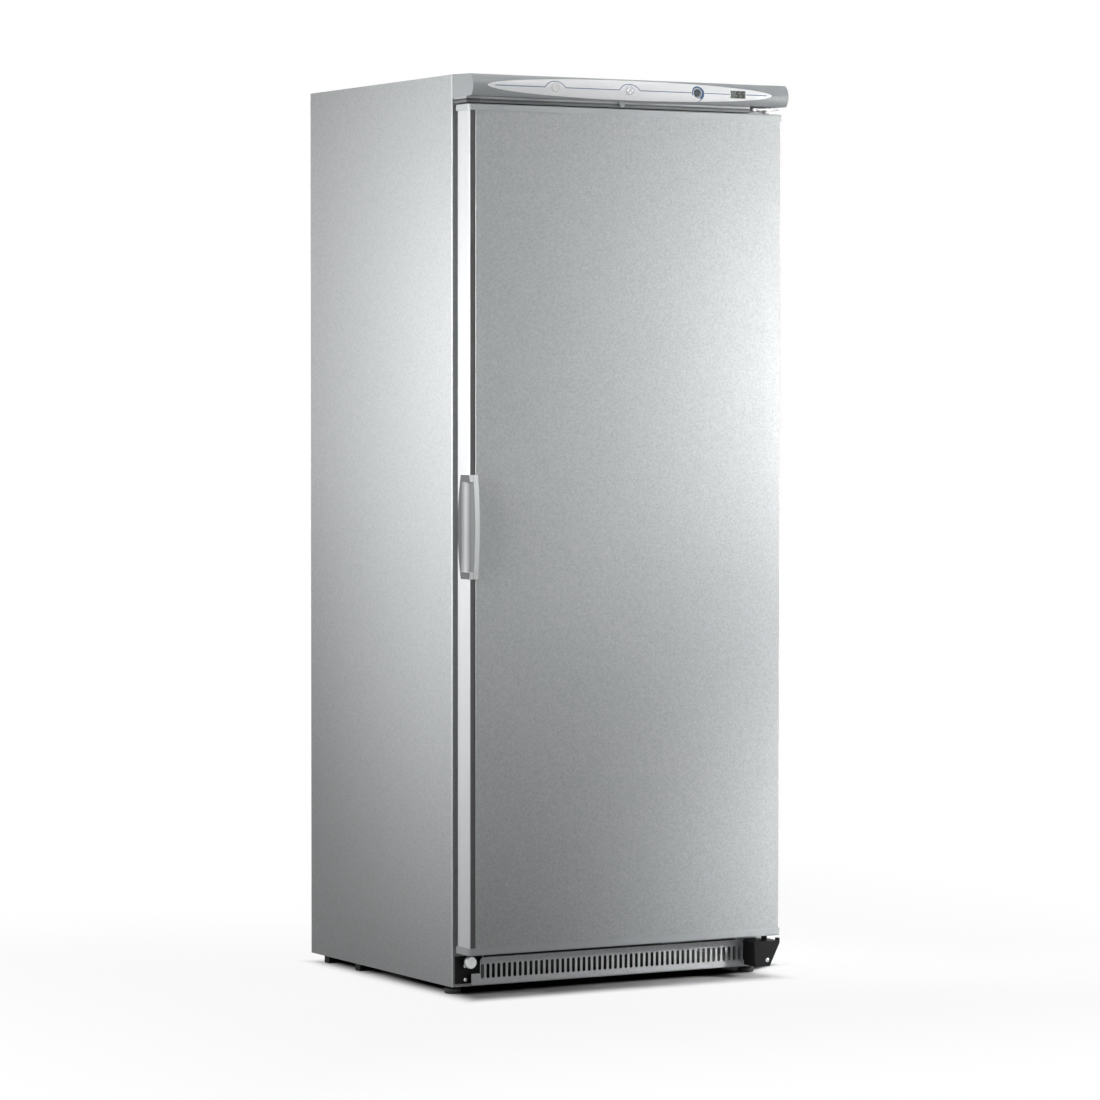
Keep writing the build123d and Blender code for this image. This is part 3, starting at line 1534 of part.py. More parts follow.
# Foam inside the door: a main block, and beside the handle's cup one below, one behind and one above
foam_front = (cup_front, liner_front)
with BuildPart() as foam_block:
    block((cup_right, foam_x[1]), foam_front, (skin_bottom, skin_top))
    extrude(pan_shape(liner_front, liner_sheet).sketch, amount=-pan_depth)
    add(door_skin.part, mode=Mode.SUBTRACT)
foam_solids = [foam_block.part]
for foam_y, foam_z in (
    (foam_front, (skin_bottom, handle_low)),
    ((handle_rear, liner_front), handle_levels),
    (foam_front, (handle_high, skin_top)),
):
    with BuildPart() as foam_side:
        block((foam_x[0], cup_right), foam_y, foam_z)
        add(door_skin.part, mode=Mode.SUBTRACT)
        block(
            (-door_half, strip_right + sheet),
            (door_front, door_front + skin_return),
            (skin_bottom, skin_top),
            Mode.SUBTRACT,
        )
    foam_solids.append(foam_side.part)
door_foam = Compound(children=foam_solids, label="door_foam")
export_step(door_foam, "parts/door_foam.step")

# Gasket: foot, bellows and magnet section round the door's back
gasket_rear = panel_y - gasket_gap
gasket_depth = gasket_rear - door_back
gasket_foot = 0.27  # shares of the gasket's depth
gasket_waist = 0.61
gasket_half = door_half - gasket_side
gasket_levels = (skin_bottom + gasket_end, skin_top - gasket_end)
gasket_height = gasket_levels[1] - gasket_levels[0]
gasket_steps = (
    (0.0, gasket_foot, 2.0),
    (gasket_foot, gasket_waist, 4.5),
    (gasket_waist, 1.0, 0.0),
)
with BuildPart() as door_gasket:
    for start, end, inset in gasket_steps:
        with BuildSketch(Plane.XZ.offset(-door_back - start * gasket_depth)):
            with Locations((0, sum(gasket_levels) / 2)):
                Rectangle(2 * (gasket_half - inset), gasket_height - 2 * inset)
                Rectangle(
                    2 * (gasket_half - gasket_width + inset),
                    gasket_height - 2 * (gasket_width - inset),
                    mode=Mode.SUBTRACT,
                )
        extrude(amount=(start - end) * gasket_depth)
save(door_gasket, "door_gasket")
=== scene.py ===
"""Looks of an upright catering refrigerator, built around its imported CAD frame.

Every length is in metres, in the frame of the CAD: X to the right as one faces the door,
Y from the door to the back, Z up, origin on the floor.
"""

import json
import math

import bmesh
import bpy
import numpy as np
from mathutils import Matrix


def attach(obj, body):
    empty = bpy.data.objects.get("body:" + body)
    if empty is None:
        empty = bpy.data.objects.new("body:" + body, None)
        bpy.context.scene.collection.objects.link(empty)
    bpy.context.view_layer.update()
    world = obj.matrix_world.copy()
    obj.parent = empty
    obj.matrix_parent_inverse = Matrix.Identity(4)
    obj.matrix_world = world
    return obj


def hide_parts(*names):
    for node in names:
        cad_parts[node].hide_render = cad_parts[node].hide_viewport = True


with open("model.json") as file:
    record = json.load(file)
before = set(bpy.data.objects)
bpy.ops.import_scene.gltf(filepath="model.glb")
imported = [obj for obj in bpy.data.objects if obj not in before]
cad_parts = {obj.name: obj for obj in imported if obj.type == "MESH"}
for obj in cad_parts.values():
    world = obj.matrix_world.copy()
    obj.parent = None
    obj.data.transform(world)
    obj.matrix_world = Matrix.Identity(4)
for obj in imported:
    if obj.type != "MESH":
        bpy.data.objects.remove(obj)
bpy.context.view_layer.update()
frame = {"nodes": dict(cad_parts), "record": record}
nodes = frame["nodes"]
slot_of_node = {part["node"]: part["material_slot"] for part in frame["record"]["subparts"]}
mm = 0.001


# Camera and lamps
def camera():
    """The photograph's viewpoint, fitted to the cabinet's edges.

    From straight ahead it is turned to the right, tipped down and rolled, each by a number of degrees.
    """
    right, down, roll = 29.235, 1.962, 0.034
    data = bpy.data.cameras.new("photo_camera")
    data.sensor_width = 36.0
    data.lens = 144.19
    data.clip_start = 0.5
    data.clip_end = 60.0
    seen = bpy.data.objects.new("photo_camera", data)
    bpy.context.scene.collection.objects.link(seen)
    seen.location = (-4.549262, -8.146817, 1.211164)
    turn = Matrix.Rotation(math.radians(-right), 4, "Z") @ Matrix.Rotation(math.radians(90 - down), 4, "X")
    seen.rotation_euler = (turn @ Matrix.Rotation(math.radians(roll), 4, "Z")).to_euler()
    bpy.context.scene.camera = seen


def lamp(name, place, aim, size, power, beam=180.0):
    """A square soft box at place that faces aim, size metres wide, behind a grid.

    The grid holds its light within the beam, in degrees, and the power is in watts.
    """
    data = bpy.data.lights.new(name, "AREA")
    data.shape = "SQUARE"
    data.size = size
    data.energy = power
    data.spread = math.radians(beam)
    box = bpy.data.objects.new(name, data)
    bpy.context.scene.collection.objects.link(box)
    toward = np.array(aim, float) - np.array(place, float)
    box.location = place
    flat = math.hypot(toward[0], toward[1])
    box.rotation_euler = (math.atan2(flat, -toward[2]), 0, math.atan2(-toward[0], toward[1]))
    box.visible_camera = False


# Shader maths
class Field:
    """A number that varies over a surface. Its operators add Math nodes to the material."""

    def __init__(self, finish, socket):
        self.finish = finish
        self.socket = socket

    def _math(self, operation, *values):
        return self.finish.field("ShaderNodeMath", {"operation": operation}, dict(enumerate(values)))

    def __add__(self, other):
        return self._math("ADD", self, other)

    def __sub__(self, other):
        return self._math("SUBTRACT", self, other)

    def __rsub__(self, other):
        return self._math("SUBTRACT", other, self)

    def __mul__(self, other):
        return self._math("MULTIPLY", self, other)

    def __abs__(self):
        return self._math("ABSOLUTE", self)

    def at_least(self, other):
        """The larger of the two."""
        return self._math("MAXIMUM", self, other)

    def above(self, low, high):
        """0 below low and 1 above high, smooth in between. It falls where low is the larger."""
        limits = {"Value": self, "From Min": low, "From Max": high}
        return self.finish.field("ShaderNodeMapRange", {"interpolation_type": "SMOOTHSTEP"}, limits)

    __radd__ = __add__
    __rmul__ = __mul__


class Finish:
    """The node tree of one material, or of the backdrop, with the single method that adds nodes to it."""

    def __init__(self, owner):
        self.owner = owner
        owner.use_nodes = True
        self.tree = owner.node_tree
        self.tree.nodes.clear()

    def node(self, kind, settings=None, inputs=None):
        """Add a node: its settings are set first, and then a value or a link for each socket named."""
        made = self.tree.nodes.new(kind)
        for key, value in (settings or {}).items():
            setattr(made, key, value)
        for key, value in (inputs or {}).items():
            socket = made.inputs[key]
            source = value.socket if isinstance(value, Field) else value
            if isinstance(source, bpy.types.NodeSocket):
                self.tree.links.new(source, socket)
            else:
                socket.default_value = source
        return made

    def field(self, kind, settings=None, inputs=None, output=0):
        """The number that an output of a new node gives."""
        return Field(self, self.node(kind, settings, inputs).outputs[output])

    def place(self):
        """The point's own place on its piece, in metres."""
        return self.node("ShaderNodeTexCoord").outputs["Object"]

    def stretched(self, scale):
        """The point's place times a scale, which is one number or one for each axis."""
        scales = (scale, scale, scale) if isinstance(scale, (int, float)) else scale
        inputs = {0: self.place(), 1: scales}
        return self.node("ShaderNodeVectorMath", {"operation": "MULTIPLY"}, inputs).outputs[0]

    def noise(self, scale, detail, roughness=0.5):
        """Smooth noise from 0 to 1. Scale is in features for each metre, one number or one for each axis."""
        inputs = {"Vector": self.stretched(scale), "Scale": 1.0, "Detail": detail, "Roughness": roughness}
        return self.field("ShaderNodeTexNoise", None, inputs)

    def cells(self, scale, output):
        """Cells at a scale for each metre: the distance to a cell's middle, or the cell's own chance tone."""
        inputs = {"Vector": self.stretched(scale), "Scale": 1.0}
        return self.field("ShaderNodeTexVoronoi", None, inputs, output)

    def axis(self, letter):
        """One coordinate of the point, in metres."""
        return self.field("ShaderNodeSeparateXYZ", None, {0: self.place()}, "XYZ".index(letter))

    def tint(self, colour, shade):
        """A colour times a varying number."""
        inputs = {0: colour, "Scale": shade}
        return self.node("ShaderNodeVectorMath", {"operation": "SCALE"}, inputs).outputs[0]

    def mix(self, share, first, second):
        """From the first colour at 0 to the second at 1."""
        inputs = {"Factor": share, 6: (*first, 1.0), 7: (*second, 1.0)}
        return self.node("ShaderNodeMix", {"data_type": "RGBA"}, inputs).outputs[2]

    def surface(self, base, rough, relief, depth, metal=0.0, coat=0.0, level=0.5):
        """Close the tree with one shader, whose gloss has the strength that level says.

        Relief is a varying height, and depth is what one unit of it comes to in metres.
        """
        bump = self.node("ShaderNodeBump", None, {"Height": relief, "Strength": 1.0, "Distance": depth})
        inputs = {
            "Base Color": base,
            "Roughness": rough,
            "Metallic": metal,
            "Coat Weight": coat,
            "Coat Roughness": 0.1,
            "Specular IOR Level": level,
            "Normal": bump.outputs[0],
        }
        shader = self.node("ShaderNodeBsdfPrincipled", None, inputs)
        self.node("ShaderNodeOutputMaterial", None, {"Surface": shader.outputs[0]})
        return self.owner


# Colours that several finishes share
silver = (0.415, 0.430, 0.437)
# Lighter copy of the silver, painted light: it makes the grille and base frame paler against the shade under
# the door
painted_light_silver = (0.600, 0.620, 0.630)
grey_moulding = (0.300, 0.317, 0.325)
light_moulding = (0.90, 0.92, 0.92)
bare_metal = (0.60, 0.61, 0.62)
black = (0.012, 0.012, 0.013)
slate = (0.022, 0.040, 0.058)

# Fold of the side panels, as its X from the middle and its Y, where a painted highlight runs, and the
# grille's face, as its Y, behind which the slots get painted shade
panel_fold = (0.3708, -0.2764)
grille_face = -0.297

# Ends and roof of the air tunnel, each as where its painted shade starts and where it is complete
tunnel_front, tunnel_back, tunnel_top = (-0.2775, -0.2765), (0.14, 0.10), (0.17, 0.15)

# Share of its tone that painted shade takes in the tunnel and the slots, and a low edge under the floor for a
# finish without dust
painted_shade_share = 0.93
no_dust = -1.0


def coating(name, colour, rough, metal=0.0, grain=900.0, speckle=0.08, depth=0.00002, coat=0.0, level=0.5):
    """Paint or moulded plastic: fine grain, faint clouds and rubbed patches.

    Its tone is one, plus a share of the grain and of the clouds, less a share of the rubs, times the colour.
    """
    finish = Finish(bpy.data.materials.new(name))
    fine = finish.noise(grain, 2.0)
    broad = finish.noise(5.0, 3.0)
    rubs = finish.noise((60.0, 60.0, 14.0), 4.0).above(0.55, 0.8)
    base = finish.tint(colour, 1 + speckle * (fine - 0.5) + 0.05 * (broad - 0.5) - 0.03 * rubs)
    roughness = rough + 0.10 * (broad - 0.5) + 0.08 * rubs
    return finish.surface(base, roughness, fine, depth, metal, coat, level)


def lacquer(name, colour, rough, metal, low_edge, fold=None, face=None):
    """Silver lacquer on sheet steel: a hammered grain with fine flakes, orange peel, and dust near the floor.

    Dust lies from low_edge to 0.2 m over it. A painted highlight runs along a fold, given as its X from
    the middle and its Y, and painted shade darkens the air tunnel behind the grille, and also a slotted
    plate behind its face, given as its Y.
    """
    finish = Finish(bpy.data.materials.new(name))
    flakes = finish.cells(620.0, "Color")
    fine = finish.noise(1500.0, 2.0)
    hammer = finish.noise(300.0, 3.0, 0.65)
    peel = finish.noise(260.0, 2.0)
    broad = finish.noise(2.2, 3.0)
    shade = 1 + 0.80 * (hammer - 0.5) + 0.20 * (fine - 0.5) + 0.11 * (flakes - 0.5) + 0.05 * (broad - 0.5)
    roughness = rough + 0.10 * (fine - 0.5) + 0.05 * (broad - 0.5)
    dust = finish.axis("Z").above(low_edge + 0.20, low_edge) * finish.noise(170.0, 5.0, 0.7).above(0.25, 0.9)
    shade = shade - 0.05 * dust
    roughness = roughness + 0.15 * dust
    if fold is not None:
        fold_x, fold_y = fold
        blend = 0.4 * mm
        outside = abs(finish.axis("X")).above(fold_x - blend, fold_x)
        deep = finish.axis("Y")
        # Painted highlight: a bright line along the fold, as where the bend catches the light
        shade = shade + 1.05 * outside * deep.above(fold_y + blend, fold_y)
        # Painted shade: the air tunnel inside is darkened, as where no light reaches
        tunnel_shade = deep.above(*tunnel_front) * deep.above(*tunnel_back) * finish.axis("Z").above(*tunnel_top)
        shade = shade * (1 - painted_shade_share * tunnel_shade * (1 - outside))
    if face is not None:
        # Painted shade: the slotted plate is darkened behind its face, inside the slots
        behind = finish.axis("Y").above(face + 0.2 * mm, face + 0.4 * mm)
        shade = shade * (1 - painted_shade_share * behind)
    return finish.surface(finish.tint(colour, shade), roughness, peel + 0.5 * fine, 0.00003, metal)


def drawn(name, colour, rough, along="Z", metal=1.0):
    """Bare metal with fine draw lines along one axis."""
    finish = Finish(bpy.data.materials.new(name))
    scales = [2600.0, 2600.0, 2600.0]
    scales["XYZ".index(along)] = 12.0
    lines = finish.noise(tuple(scales), 3.0)
    broad = finish.noise(14.0, 3.0)
    stains = finish.noise(70.0, 5.0).above(0.6, 0.8)
    base = finish.tint(colour, 1 + 0.10 * (lines - 0.5) + 0.06 * (broad - 0.5) - 0.10 * stains)
    return finish.surface(base, rough + 0.12 * (lines - 0.5) + 0.1 * stains, lines, 0.00001, metal)


def galvanised(name, colour):
    """Hot dipped zinc: crystals a centimetre across, each with its own tone and gloss."""
    finish = Finish(bpy.data.materials.new(name))
    crystal = finish.cells(95.0, "Color")
    fine = finish.noise(700.0, 3.0)
    white_rust = finish.noise(9.0, 5.0).above(0.58, 0.75)
    shade = 1 + 0.24 * (crystal - 0.5) + 0.08 * (fine - 0.5) + 0.06 * white_rust
    roughness = 0.36 + 0.18 * (crystal - 0.5) + 0.2 * white_rust
    return finish.surface(finish.tint(colour, shade), roughness, fine, 0.00002, 0.9)


def handle_finish():
    """Light moulding with painted shade on its outermost face, on the door's edge, in its scoop behind the
    bar, and on the bar's inner side.
    """
    outer_face, bar_back, scoop_rim = (-0.3695, -0.3699), (-0.3412, -0.3400), (-0.3640, -0.3510)
    side_left, side_right = (-0.3613, -0.3611), (-0.3605, -0.3608)
    finish = Finish(bpy.data.materials.new("handle_moulding"))
    fine = finish.noise(900.0, 2.0)
    broad = finish.noise(9.0, 3.0)
    out = finish.axis("X")
    behind = finish.axis("Y").above(*bar_back)
    # Painted shade: the scoop darkens towards the bar, and the bar's inner side and the outermost face are
    # dark, as where light doesn't reach
    scoop_shade = behind * (0.04 + 0.94 * out.above(*scoop_rim))
    bar_side_shade = (1 - behind) * out.above(*side_left) * out.above(*side_right)
    dark = out.above(*outer_face).at_least(0.93 * scoop_shade.at_least(bar_side_shade))
    tone = finish.mix(dark, light_moulding, (0.066, 0.071, 0.073))
    base = finish.tint(tone, 1 + 0.05 * (fine - 0.5) + 0.05 * (broad - 0.5))
    return finish.surface(base, 0.38 + 0.08 * (broad - 0.5), fine, 0.00002)


def trim_finish():
    """Strip under the housing: a painted highlight on the upper lip, painted shade in the groove, a grey
    lower lip, and a darker left end.
    """
    groove_foot, groove_top, left_end = (1.8103, 1.8107), (1.8143, 1.8147), (-0.3380, -0.3384)
    finish = Finish(bpy.data.materials.new("trim_moulding"))
    fine = finish.noise(900.0, 2.0)
    height = finish.axis("Z")
    upper = height.above(*groove_top)
    groove = height.above(*groove_foot) * height.above(*reversed(groove_top))
    end = finish.axis("X").above(*left_end)
    # Painted highlight on the upper lip and painted shade in the groove, over the moulding's grey
    shade = (0.62 + 0.85 * upper - 0.36 * groove - 0.18 * end) * (1 + 0.14 * (fine - 0.5))
    return finish.surface(finish.tint(grey_moulding, shade), 0.40, fine, 0.00002, 0.15)


def foamed(name, colour):
    """Rigid foam with open cells."""
    finish = Finish(bpy.data.materials.new(name))
    pores = finish.cells(900.0, "Distance")
    broad = finish.noise(12.0, 4.0)
    return finish.surface(finish.tint(colour, 0.9 + 0.2 * pores + 0.1 * (broad - 0.5)), 0.9, pores, 0.0004)


finishes = {
    "body_paint": lacquer("silver_lacquer_body", silver, 0.42, 0.10, 0.02, panel_fold),
    "door_paint": lacquer("silver_lacquer_door", silver, 0.40, 0.10, 0.10),
    "profile_alu": drawn("anodised_profile", bare_metal, 0.34, metal=0.3),
    "black_strip": coating("dark_edge_strip", (0.085, 0.080, 0.082), 0.5),
    "grey_plastic": coating("silver_grey_moulding", grey_moulding, 0.40, metal=0.15, speckle=0.14),
    "light_plastic": coating("light_grey_moulding", (0.86, 0.88, 0.88), 0.38, speckle=0.05),
    "black_plastic": coating("black_moulding", black, 0.50, speckle=0.25, depth=0.00004, level=0.12),
    "white_plastic": coating("white_moulding", (0.86, 0.86, 0.85), 0.35),
    "label_print": coating("label_film", (0.90, 0.905, 0.915), 0.32, speckle=0.02, depth=0.000004, coat=0.25),
    "blue_plastic": coating("blue_black_knob", slate, 0.30),
    "display_window": coating("display_window", (0.125, 0.148, 0.130), 0.30, speckle=0.03, depth=0.0),
    "galvanised": galvanised("galvanised_sheet", bare_metal),
    "black_steel": coating("black_powder_coat", black, 0.50, speckle=0.3, depth=0.00005, level=0.12),
    "zinc_bright": drawn("bright_zinc", bare_metal, 0.26),
    "liner_white": coating("white_liner", (0.80, 0.81, 0.80), 0.34, grain=420.0, speckle=0.02, depth=0.00003),
    "foam": foamed("rigid_foam", (0.78, 0.68, 0.42)),
    "gasket_rubber": coating("dark_gasket", (0.045, 0.041, 0.041), 0.55, speckle=0.1),
    "shelf_coat": coating("white_shelf_coating", (0.80, 0.80, 0.79), 0.32, speckle=0.02),
    "condenser_coat": coating("black_enamel_condenser", (0.015, 0.015, 0.016), 0.36),
    "evaporator_alu": drawn("rolled_aluminium", (0.78, 0.79, 0.80), 0.46, "X"),
    "copper": drawn("drawn_copper", (0.80, 0.42, 0.26), 0.28),
    "compressor_black": coating("black_enamel_compressor", (0.014, 0.014, 0.016), 0.30),
    "mount_rubber": coating("mount_rubber", (0.022, 0.022, 0.022), 0.7, speckle=0.3),
    "foot_plastic": coating("foot_moulding", (0.018, 0.018, 0.018), 0.5, speckle=0.3),
}
cap_grey = coating("door_cap_moulding", (0.43, 0.452, 0.46), 0.40, metal=0.1, speckle=0.12)
print_blue = coating("blue_print", (0.045, 0.110, 0.240), 0.40, speckle=0.05, depth=0.0)
print_slate = coating("slate_print", slate, 0.40, speckle=0.05, depth=0.0)
print_grey = coating("grey_print", (0.300, 0.330, 0.350), 0.40, speckle=0.05, depth=0.0)
digit_black = coating("display_segments", (0.012, 0.016, 0.014), 0.30, speckle=0.05, depth=0.0)


def paint(made, material):
    """Give a piece or a CAD node its one material."""
    made.data.materials.clear()
    made.data.materials.append(material)


own_finish = {
    # Grille and frame in the silver with painted light, and with painted shade in the slots and the tunnel
    "grille": lacquer("silver_lacquer_grille", painted_light_silver, 0.42, 0.10, no_dust, face=grille_face),
    "base_frame": lacquer("silver_lacquer_frame", painted_light_silver, 0.42, 0.10, no_dust, panel_fold),
    "door_top_cap": cap_grey,
    "door_bottom_cap": cap_grey,
    "door_handle": handle_finish(),
    "lower_trim": trim_finish(),
    "spare_hinge_cap": coating("cap_moulding", (0.88, 0.90, 0.90), 0.36, metal=0.5, speckle=0.05),
}
for name, node in nodes.items():
    paint(node, own_finish.get(name, finishes[slot_of_node[name]]))


# Surfaces worked out as arrays
def loft(rings, loop=False, ends=True):
    """Skin over closed outlines, an array (outline, point, XYZ): quads join each outline to the next.

    With loop the last one meets the first. Otherwise ends closes the first and the last with a face each.
    """
    rings = np.asarray(rings, float)
    index = np.arange(rings.shape[0] * rings.shape[1]).reshape(rings.shape[:2])
    here = index if loop else index[:-1]
    ahead = np.roll(index, -1, axis=0) if loop else index[1:]
    quads = np.stack([here, np.roll(here, -1, 1), np.roll(ahead, -1, 1), ahead], axis=-1)
    faces = quads.reshape(-1, 4).tolist()
    if ends and not loop:
        faces += [index[0][::-1].tolist(), index[-1].tolist()]
    return rings.reshape(-1, 3), faces


def upright_to(axis):
    """Two unit vectors square to an axis and to each other, and the axis itself at unit length."""
    along = np.array(axis, float) / np.linalg.norm(axis)
    side = np.cross(along, (1.0, 0.0, 0.0) if abs(along[0]) < 0.9 else (0.0, 1.0, 0.0))
    side /= np.linalg.norm(side)
    return side, np.cross(along, side), along


def turned(profile, centre, axis, sides, ripple=None, sink=None):
    """Surface of revolution: each (radius, height) pair of the profile becomes a circle round the axis.

    Ripple gives a share of the radius for each (radius, height, angle), and sink a depth for each point
    (across, up) of the faces, which is taken off its height.
    """
    side, up, along = upright_to(axis)
    radius, height = (np.array(column, float)[:, None] for column in zip(*profile))
    angle = np.linspace(0, 2 * np.pi, sides, endpoint=False)[None, :]
    if ripple is not None:
        radius = radius * ripple(radius, height, angle)
    across, high = radius * np.cos(angle), radius * np.sin(angle)
    if sink is not None:
        height = height - sink(across, high, height)
    points = across[..., None] * side + high[..., None] * up + (height + 0 * angle)[..., None] * along
    return loft(np.array(centre) + points, ends=False)


def softened(outline):
    """Closed outline with its corners cut twice: each time, each side keeps its middle half."""
    outline = np.array(outline, float)
    for _ in range(2):
        after = np.roll(outline, -1, axis=0)
        outline = np.stack([0.75 * outline + 0.25 * after, 0.25 * outline + 0.75 * after], 1).reshape(-1, 2)
    return outline


def piece(name, body, slot, shapes, stands_for=(), material=None):
    """One object out of lofted shapes, riding on a body. Faces that meet at over 35 degrees stay sharp."""
    points, faces, start = [], [], 0
    for corners, sides in shapes:
        points.append(corners)
        faces += [[start + corner for corner in side] for side in sides]
        start += len(corners)
    mesh = bpy.data.meshes.new(name)
    mesh.from_pydata(np.concatenate(points).tolist(), [], faces)
    work = bmesh.new()
    work.from_mesh(mesh)
    bmesh.ops.remove_doubles(work, verts=work.verts, dist=1e-6)
    bmesh.ops.recalc_face_normals(work, faces=work.faces)
    work.to_mesh(mesh)
    work.free()
    mesh.shade_smooth()
    mesh.set_sharp_from_angle(angle=math.radians(35))
    made = bpy.data.objects.new(name, mesh)
    bpy.context.scene.collection.objects.link(made)
    paint(made, material or finishes[slot])
    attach(made, body)
    if stands_for:
        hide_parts(*stands_for)
    return made


# Front curve of the control housing: the circle through its brow, nose and chin, as (Y, Z)
brow, nose, chin = (-0.3560, 1.8625), (-0.3685, 1.8405), (-0.3595, 1.8185)
label_z = 1.840
button_x, lock_x, knob_x, display_x = -0.1835, -0.010, 0.151, 0.249
control_face = -0.370


def circle_through(first, second, third):
    """Centre and radius of the circle through three points: the centre is as far from each of them."""
    rows = 2 * np.array([np.subtract(second, first), np.subtract(third, first)])
    squares = [np.dot(point, point) - np.dot(first, first) for point in (second, third)]
    centre = np.linalg.solve(rows, squares)
    return centre, math.dist(centre, first)


curve_centre, curve_radius = circle_through(brow, nose, chin)


def on_label(z, lift):
    """Y of the label's curved face at the height z, or in front of it by lift.

    It is the circle's middle, less the root of the radius squared less the height over the middle squared.
    """
    return curve_centre[0] - np.sqrt((curve_radius + lift) ** 2 - (z - curve_centre[1]) ** 2)


def on_window(z, lift):
    """Y of the display's flat window, or in front of it by lift."""
    return nose[0] + 0.4 * mm - lift + 0 * z


def band(path, half, surface=on_label, loop=False):
    """Printed stroke: a flat rectangle, half wide to each side, carried along (X, Z) points on a surface."""
    film = 0.12 * mm
    path = np.array(path, float)
    if loop:
        along = np.roll(path, -1, axis=0) - np.roll(path, 1, axis=0)
    else:
        along = np.gradient(path, axis=0)
    along /= np.linalg.norm(along, axis=1)[:, None]
    aside = np.stack([-along[:, 1], along[:, 0]], axis=1) * np.broadcast_to(half, len(path))[:, None]
    corners = [(path + aside, film), (path - aside, film), (path - aside, -film), (path + aside, -film)]
    lines = [np.stack([edge[:, 0], surface(edge[:, 1], lift), edge[:, 1]], axis=1) for edge, lift in corners]
    return loft(np.stack(lines, axis=1), loop=loop)


def arc(centre_x, radius, start, end, count):
    """Points (X, Z) of an arc round a control's middle, in degrees from +X towards +Z."""
    angle = np.radians(np.linspace(start, end, count))
    return np.stack([centre_x + radius * np.cos(angle), label_z + radius * np.sin(angle)], axis=1)


def label_line():
    """Thin line along the label, in three runs, lifted over the button and the lock.

    Each lift is a flattened arch: one less a power of the distance in X, and of that a root.
    """
    runs = ((-0.322, 0.137), (0.168, 0.229), (0.269, 0.318))
    arch_half, arch_high, stroke = 24 * mm, 12.2 * mm, 0.75 * mm
    shapes = []
    for start, end in runs:
        x = np.linspace(start, end, 2 + int((end - start) / (0.8 * mm)))
        lift = 0 * x
        for middle in (button_x, lock_x):
            share = np.clip(np.abs(x - middle) / arch_half, 0, 1)
            lift += arch_high * (1 - share**2.4) ** 0.9
        shapes.append(band(np.stack([x, label_z + lift], axis=1), stroke))
    return shapes


def label_crescent():
    """Crescent round the knob that widens clockwise, from its thin tail at the left to the bottom.

    Its outer radius grows by the square of the way along it.
    """
    tail, sweep = 205, 290
    share = np.linspace(0, 1, 60)
    inner, outer = 10.4 * mm, (13.2 + 5.8 * share**2) * mm
    middle = (inner + outer) / 2
    angle = np.radians(tail - sweep * share)
    path = np.stack([knob_x + middle * np.cos(angle), label_z + middle * np.sin(angle)], axis=1)
    return [band(path, (outer - inner) / 2)]


def dashed_ring():
    """Fourteen dashes round the button. Each is an arc over six tenths of its share of the circle."""
    dashes, filled = 14, 0.6
    pitch = 360 / dashes
    arcs = [arc(button_x, 9.0 * mm, k * pitch, (k + filled) * pitch, 6) for k in range(dashes)]
    return [band(path, 0.4 * mm) for path in arcs]


def plain_ring(centre_x, radius, half):
    """Closed ring round a control: a circle of 72 points, half wide to each side."""
    return [band(arc(centre_x, radius, 0, 355, 72), half, loop=True)]


def digit(left, low, strokes):
    """Seven-bar digit: each stroke joins two corners of a figure of eight, leaning to the right."""
    width, height, lean = 7.0 * mm, 10.6 * mm, 0.10
    corners = {0: (0, 1), 1: (1, 1), 2: (0, 0.5), 3: (1, 0.5), 4: (0, 0), 5: (1, 0)}
    shapes = []
    for first, second in strokes:
        a, b = (np.array(corners[k]) * (width, height) for k in (first, second))
        path = np.array([a + (b - a) * share for share in (0.06, 0.14, 0.86, 0.94)])
        path[:, 0] += left + lean * path[:, 1]
        path[:, 1] += low
        shapes.append(band(path, np.array([0.6, 1.4, 1.4, 0.6]) * mm, on_window))
    return shapes


def display_digits():
    """Plain reading on the display."""
    five = [(0, 1), (0, 2), (2, 3), (3, 5), (4, 5)]
    low = label_z - 5.3 * mm
    point = display_x - 8.0 * mm
    dot = np.array([[point, low + 0.2 * mm], [point + 2.0 * mm, low + 0.2 * mm]])
    pair = digit(display_x - 4.2 * mm, low, five) + digit(display_x + 6.8 * mm, low, five)
    return pair + [band(dot, 1.1 * mm, on_window)]


def gasket():
    """Bellows seal: an outline, as (outwards, away from the door), carried round with mitred corners."""
    half = [
        (8.0, 0.0), (8.8, 1.0), (8.4, 2.6), (6.4, 3.5), (4.6, 4.2), (4.2, 5.2), (6.2, 6.0), (6.4, 7.0),
        (4.2, 7.9), (4.4, 8.8), (8.6, 9.2), (10.0, 10.2), (10.2, 12.8), (9.4, 14.3), (6.0, 14.7),
        (2.0, 14.55),
    ]
    outline = softened(half + [(-across, deep) for across, deep in reversed(half)]) * mm
    door_back, middle_x, low, high = -0.293, 0.340, 0.104, 1.7895
    inset = 10 * mm
    rings = []
    for side, level in ((-1, low), (1, low), (1, high), (-1, high)):
        up = -1 if level == low else 1
        x = side * (middle_x + outline[:, 0])
        z = level + up * (outline[:, 0] - inset)
        rings.append(np.stack([x, door_back + outline[:, 1], z], axis=1))
    return [loft(rings, loop=True)]


def rubber_mounts():
    """Four grommets with a waist, each with the stem that its compressor foot sits on."""
    profile = [
        (0.0, 0.0), (11.0, 0.0), (12.0, 0.8), (12.0, 3.2), (10.6, 4.4), (9.6, 6.4), (10.6, 8.4), (12.0, 9.6),
        (12.0, 12.2), (11.2, 13.0), (6.0, 13.0), (3.9, 13.0), (3.9, 16.8), (3.2, 18.0), (0.0, 18.0),
    ]
    foot_x, foot_y, tray_top = (-0.225, -0.035), (0.192, 0.302), 0.019
    scaled = np.array(profile) * mm
    return [turned(scaled, (x, y, tray_top), (0, 0, 1), 36) for x in foot_x for y in foot_y]


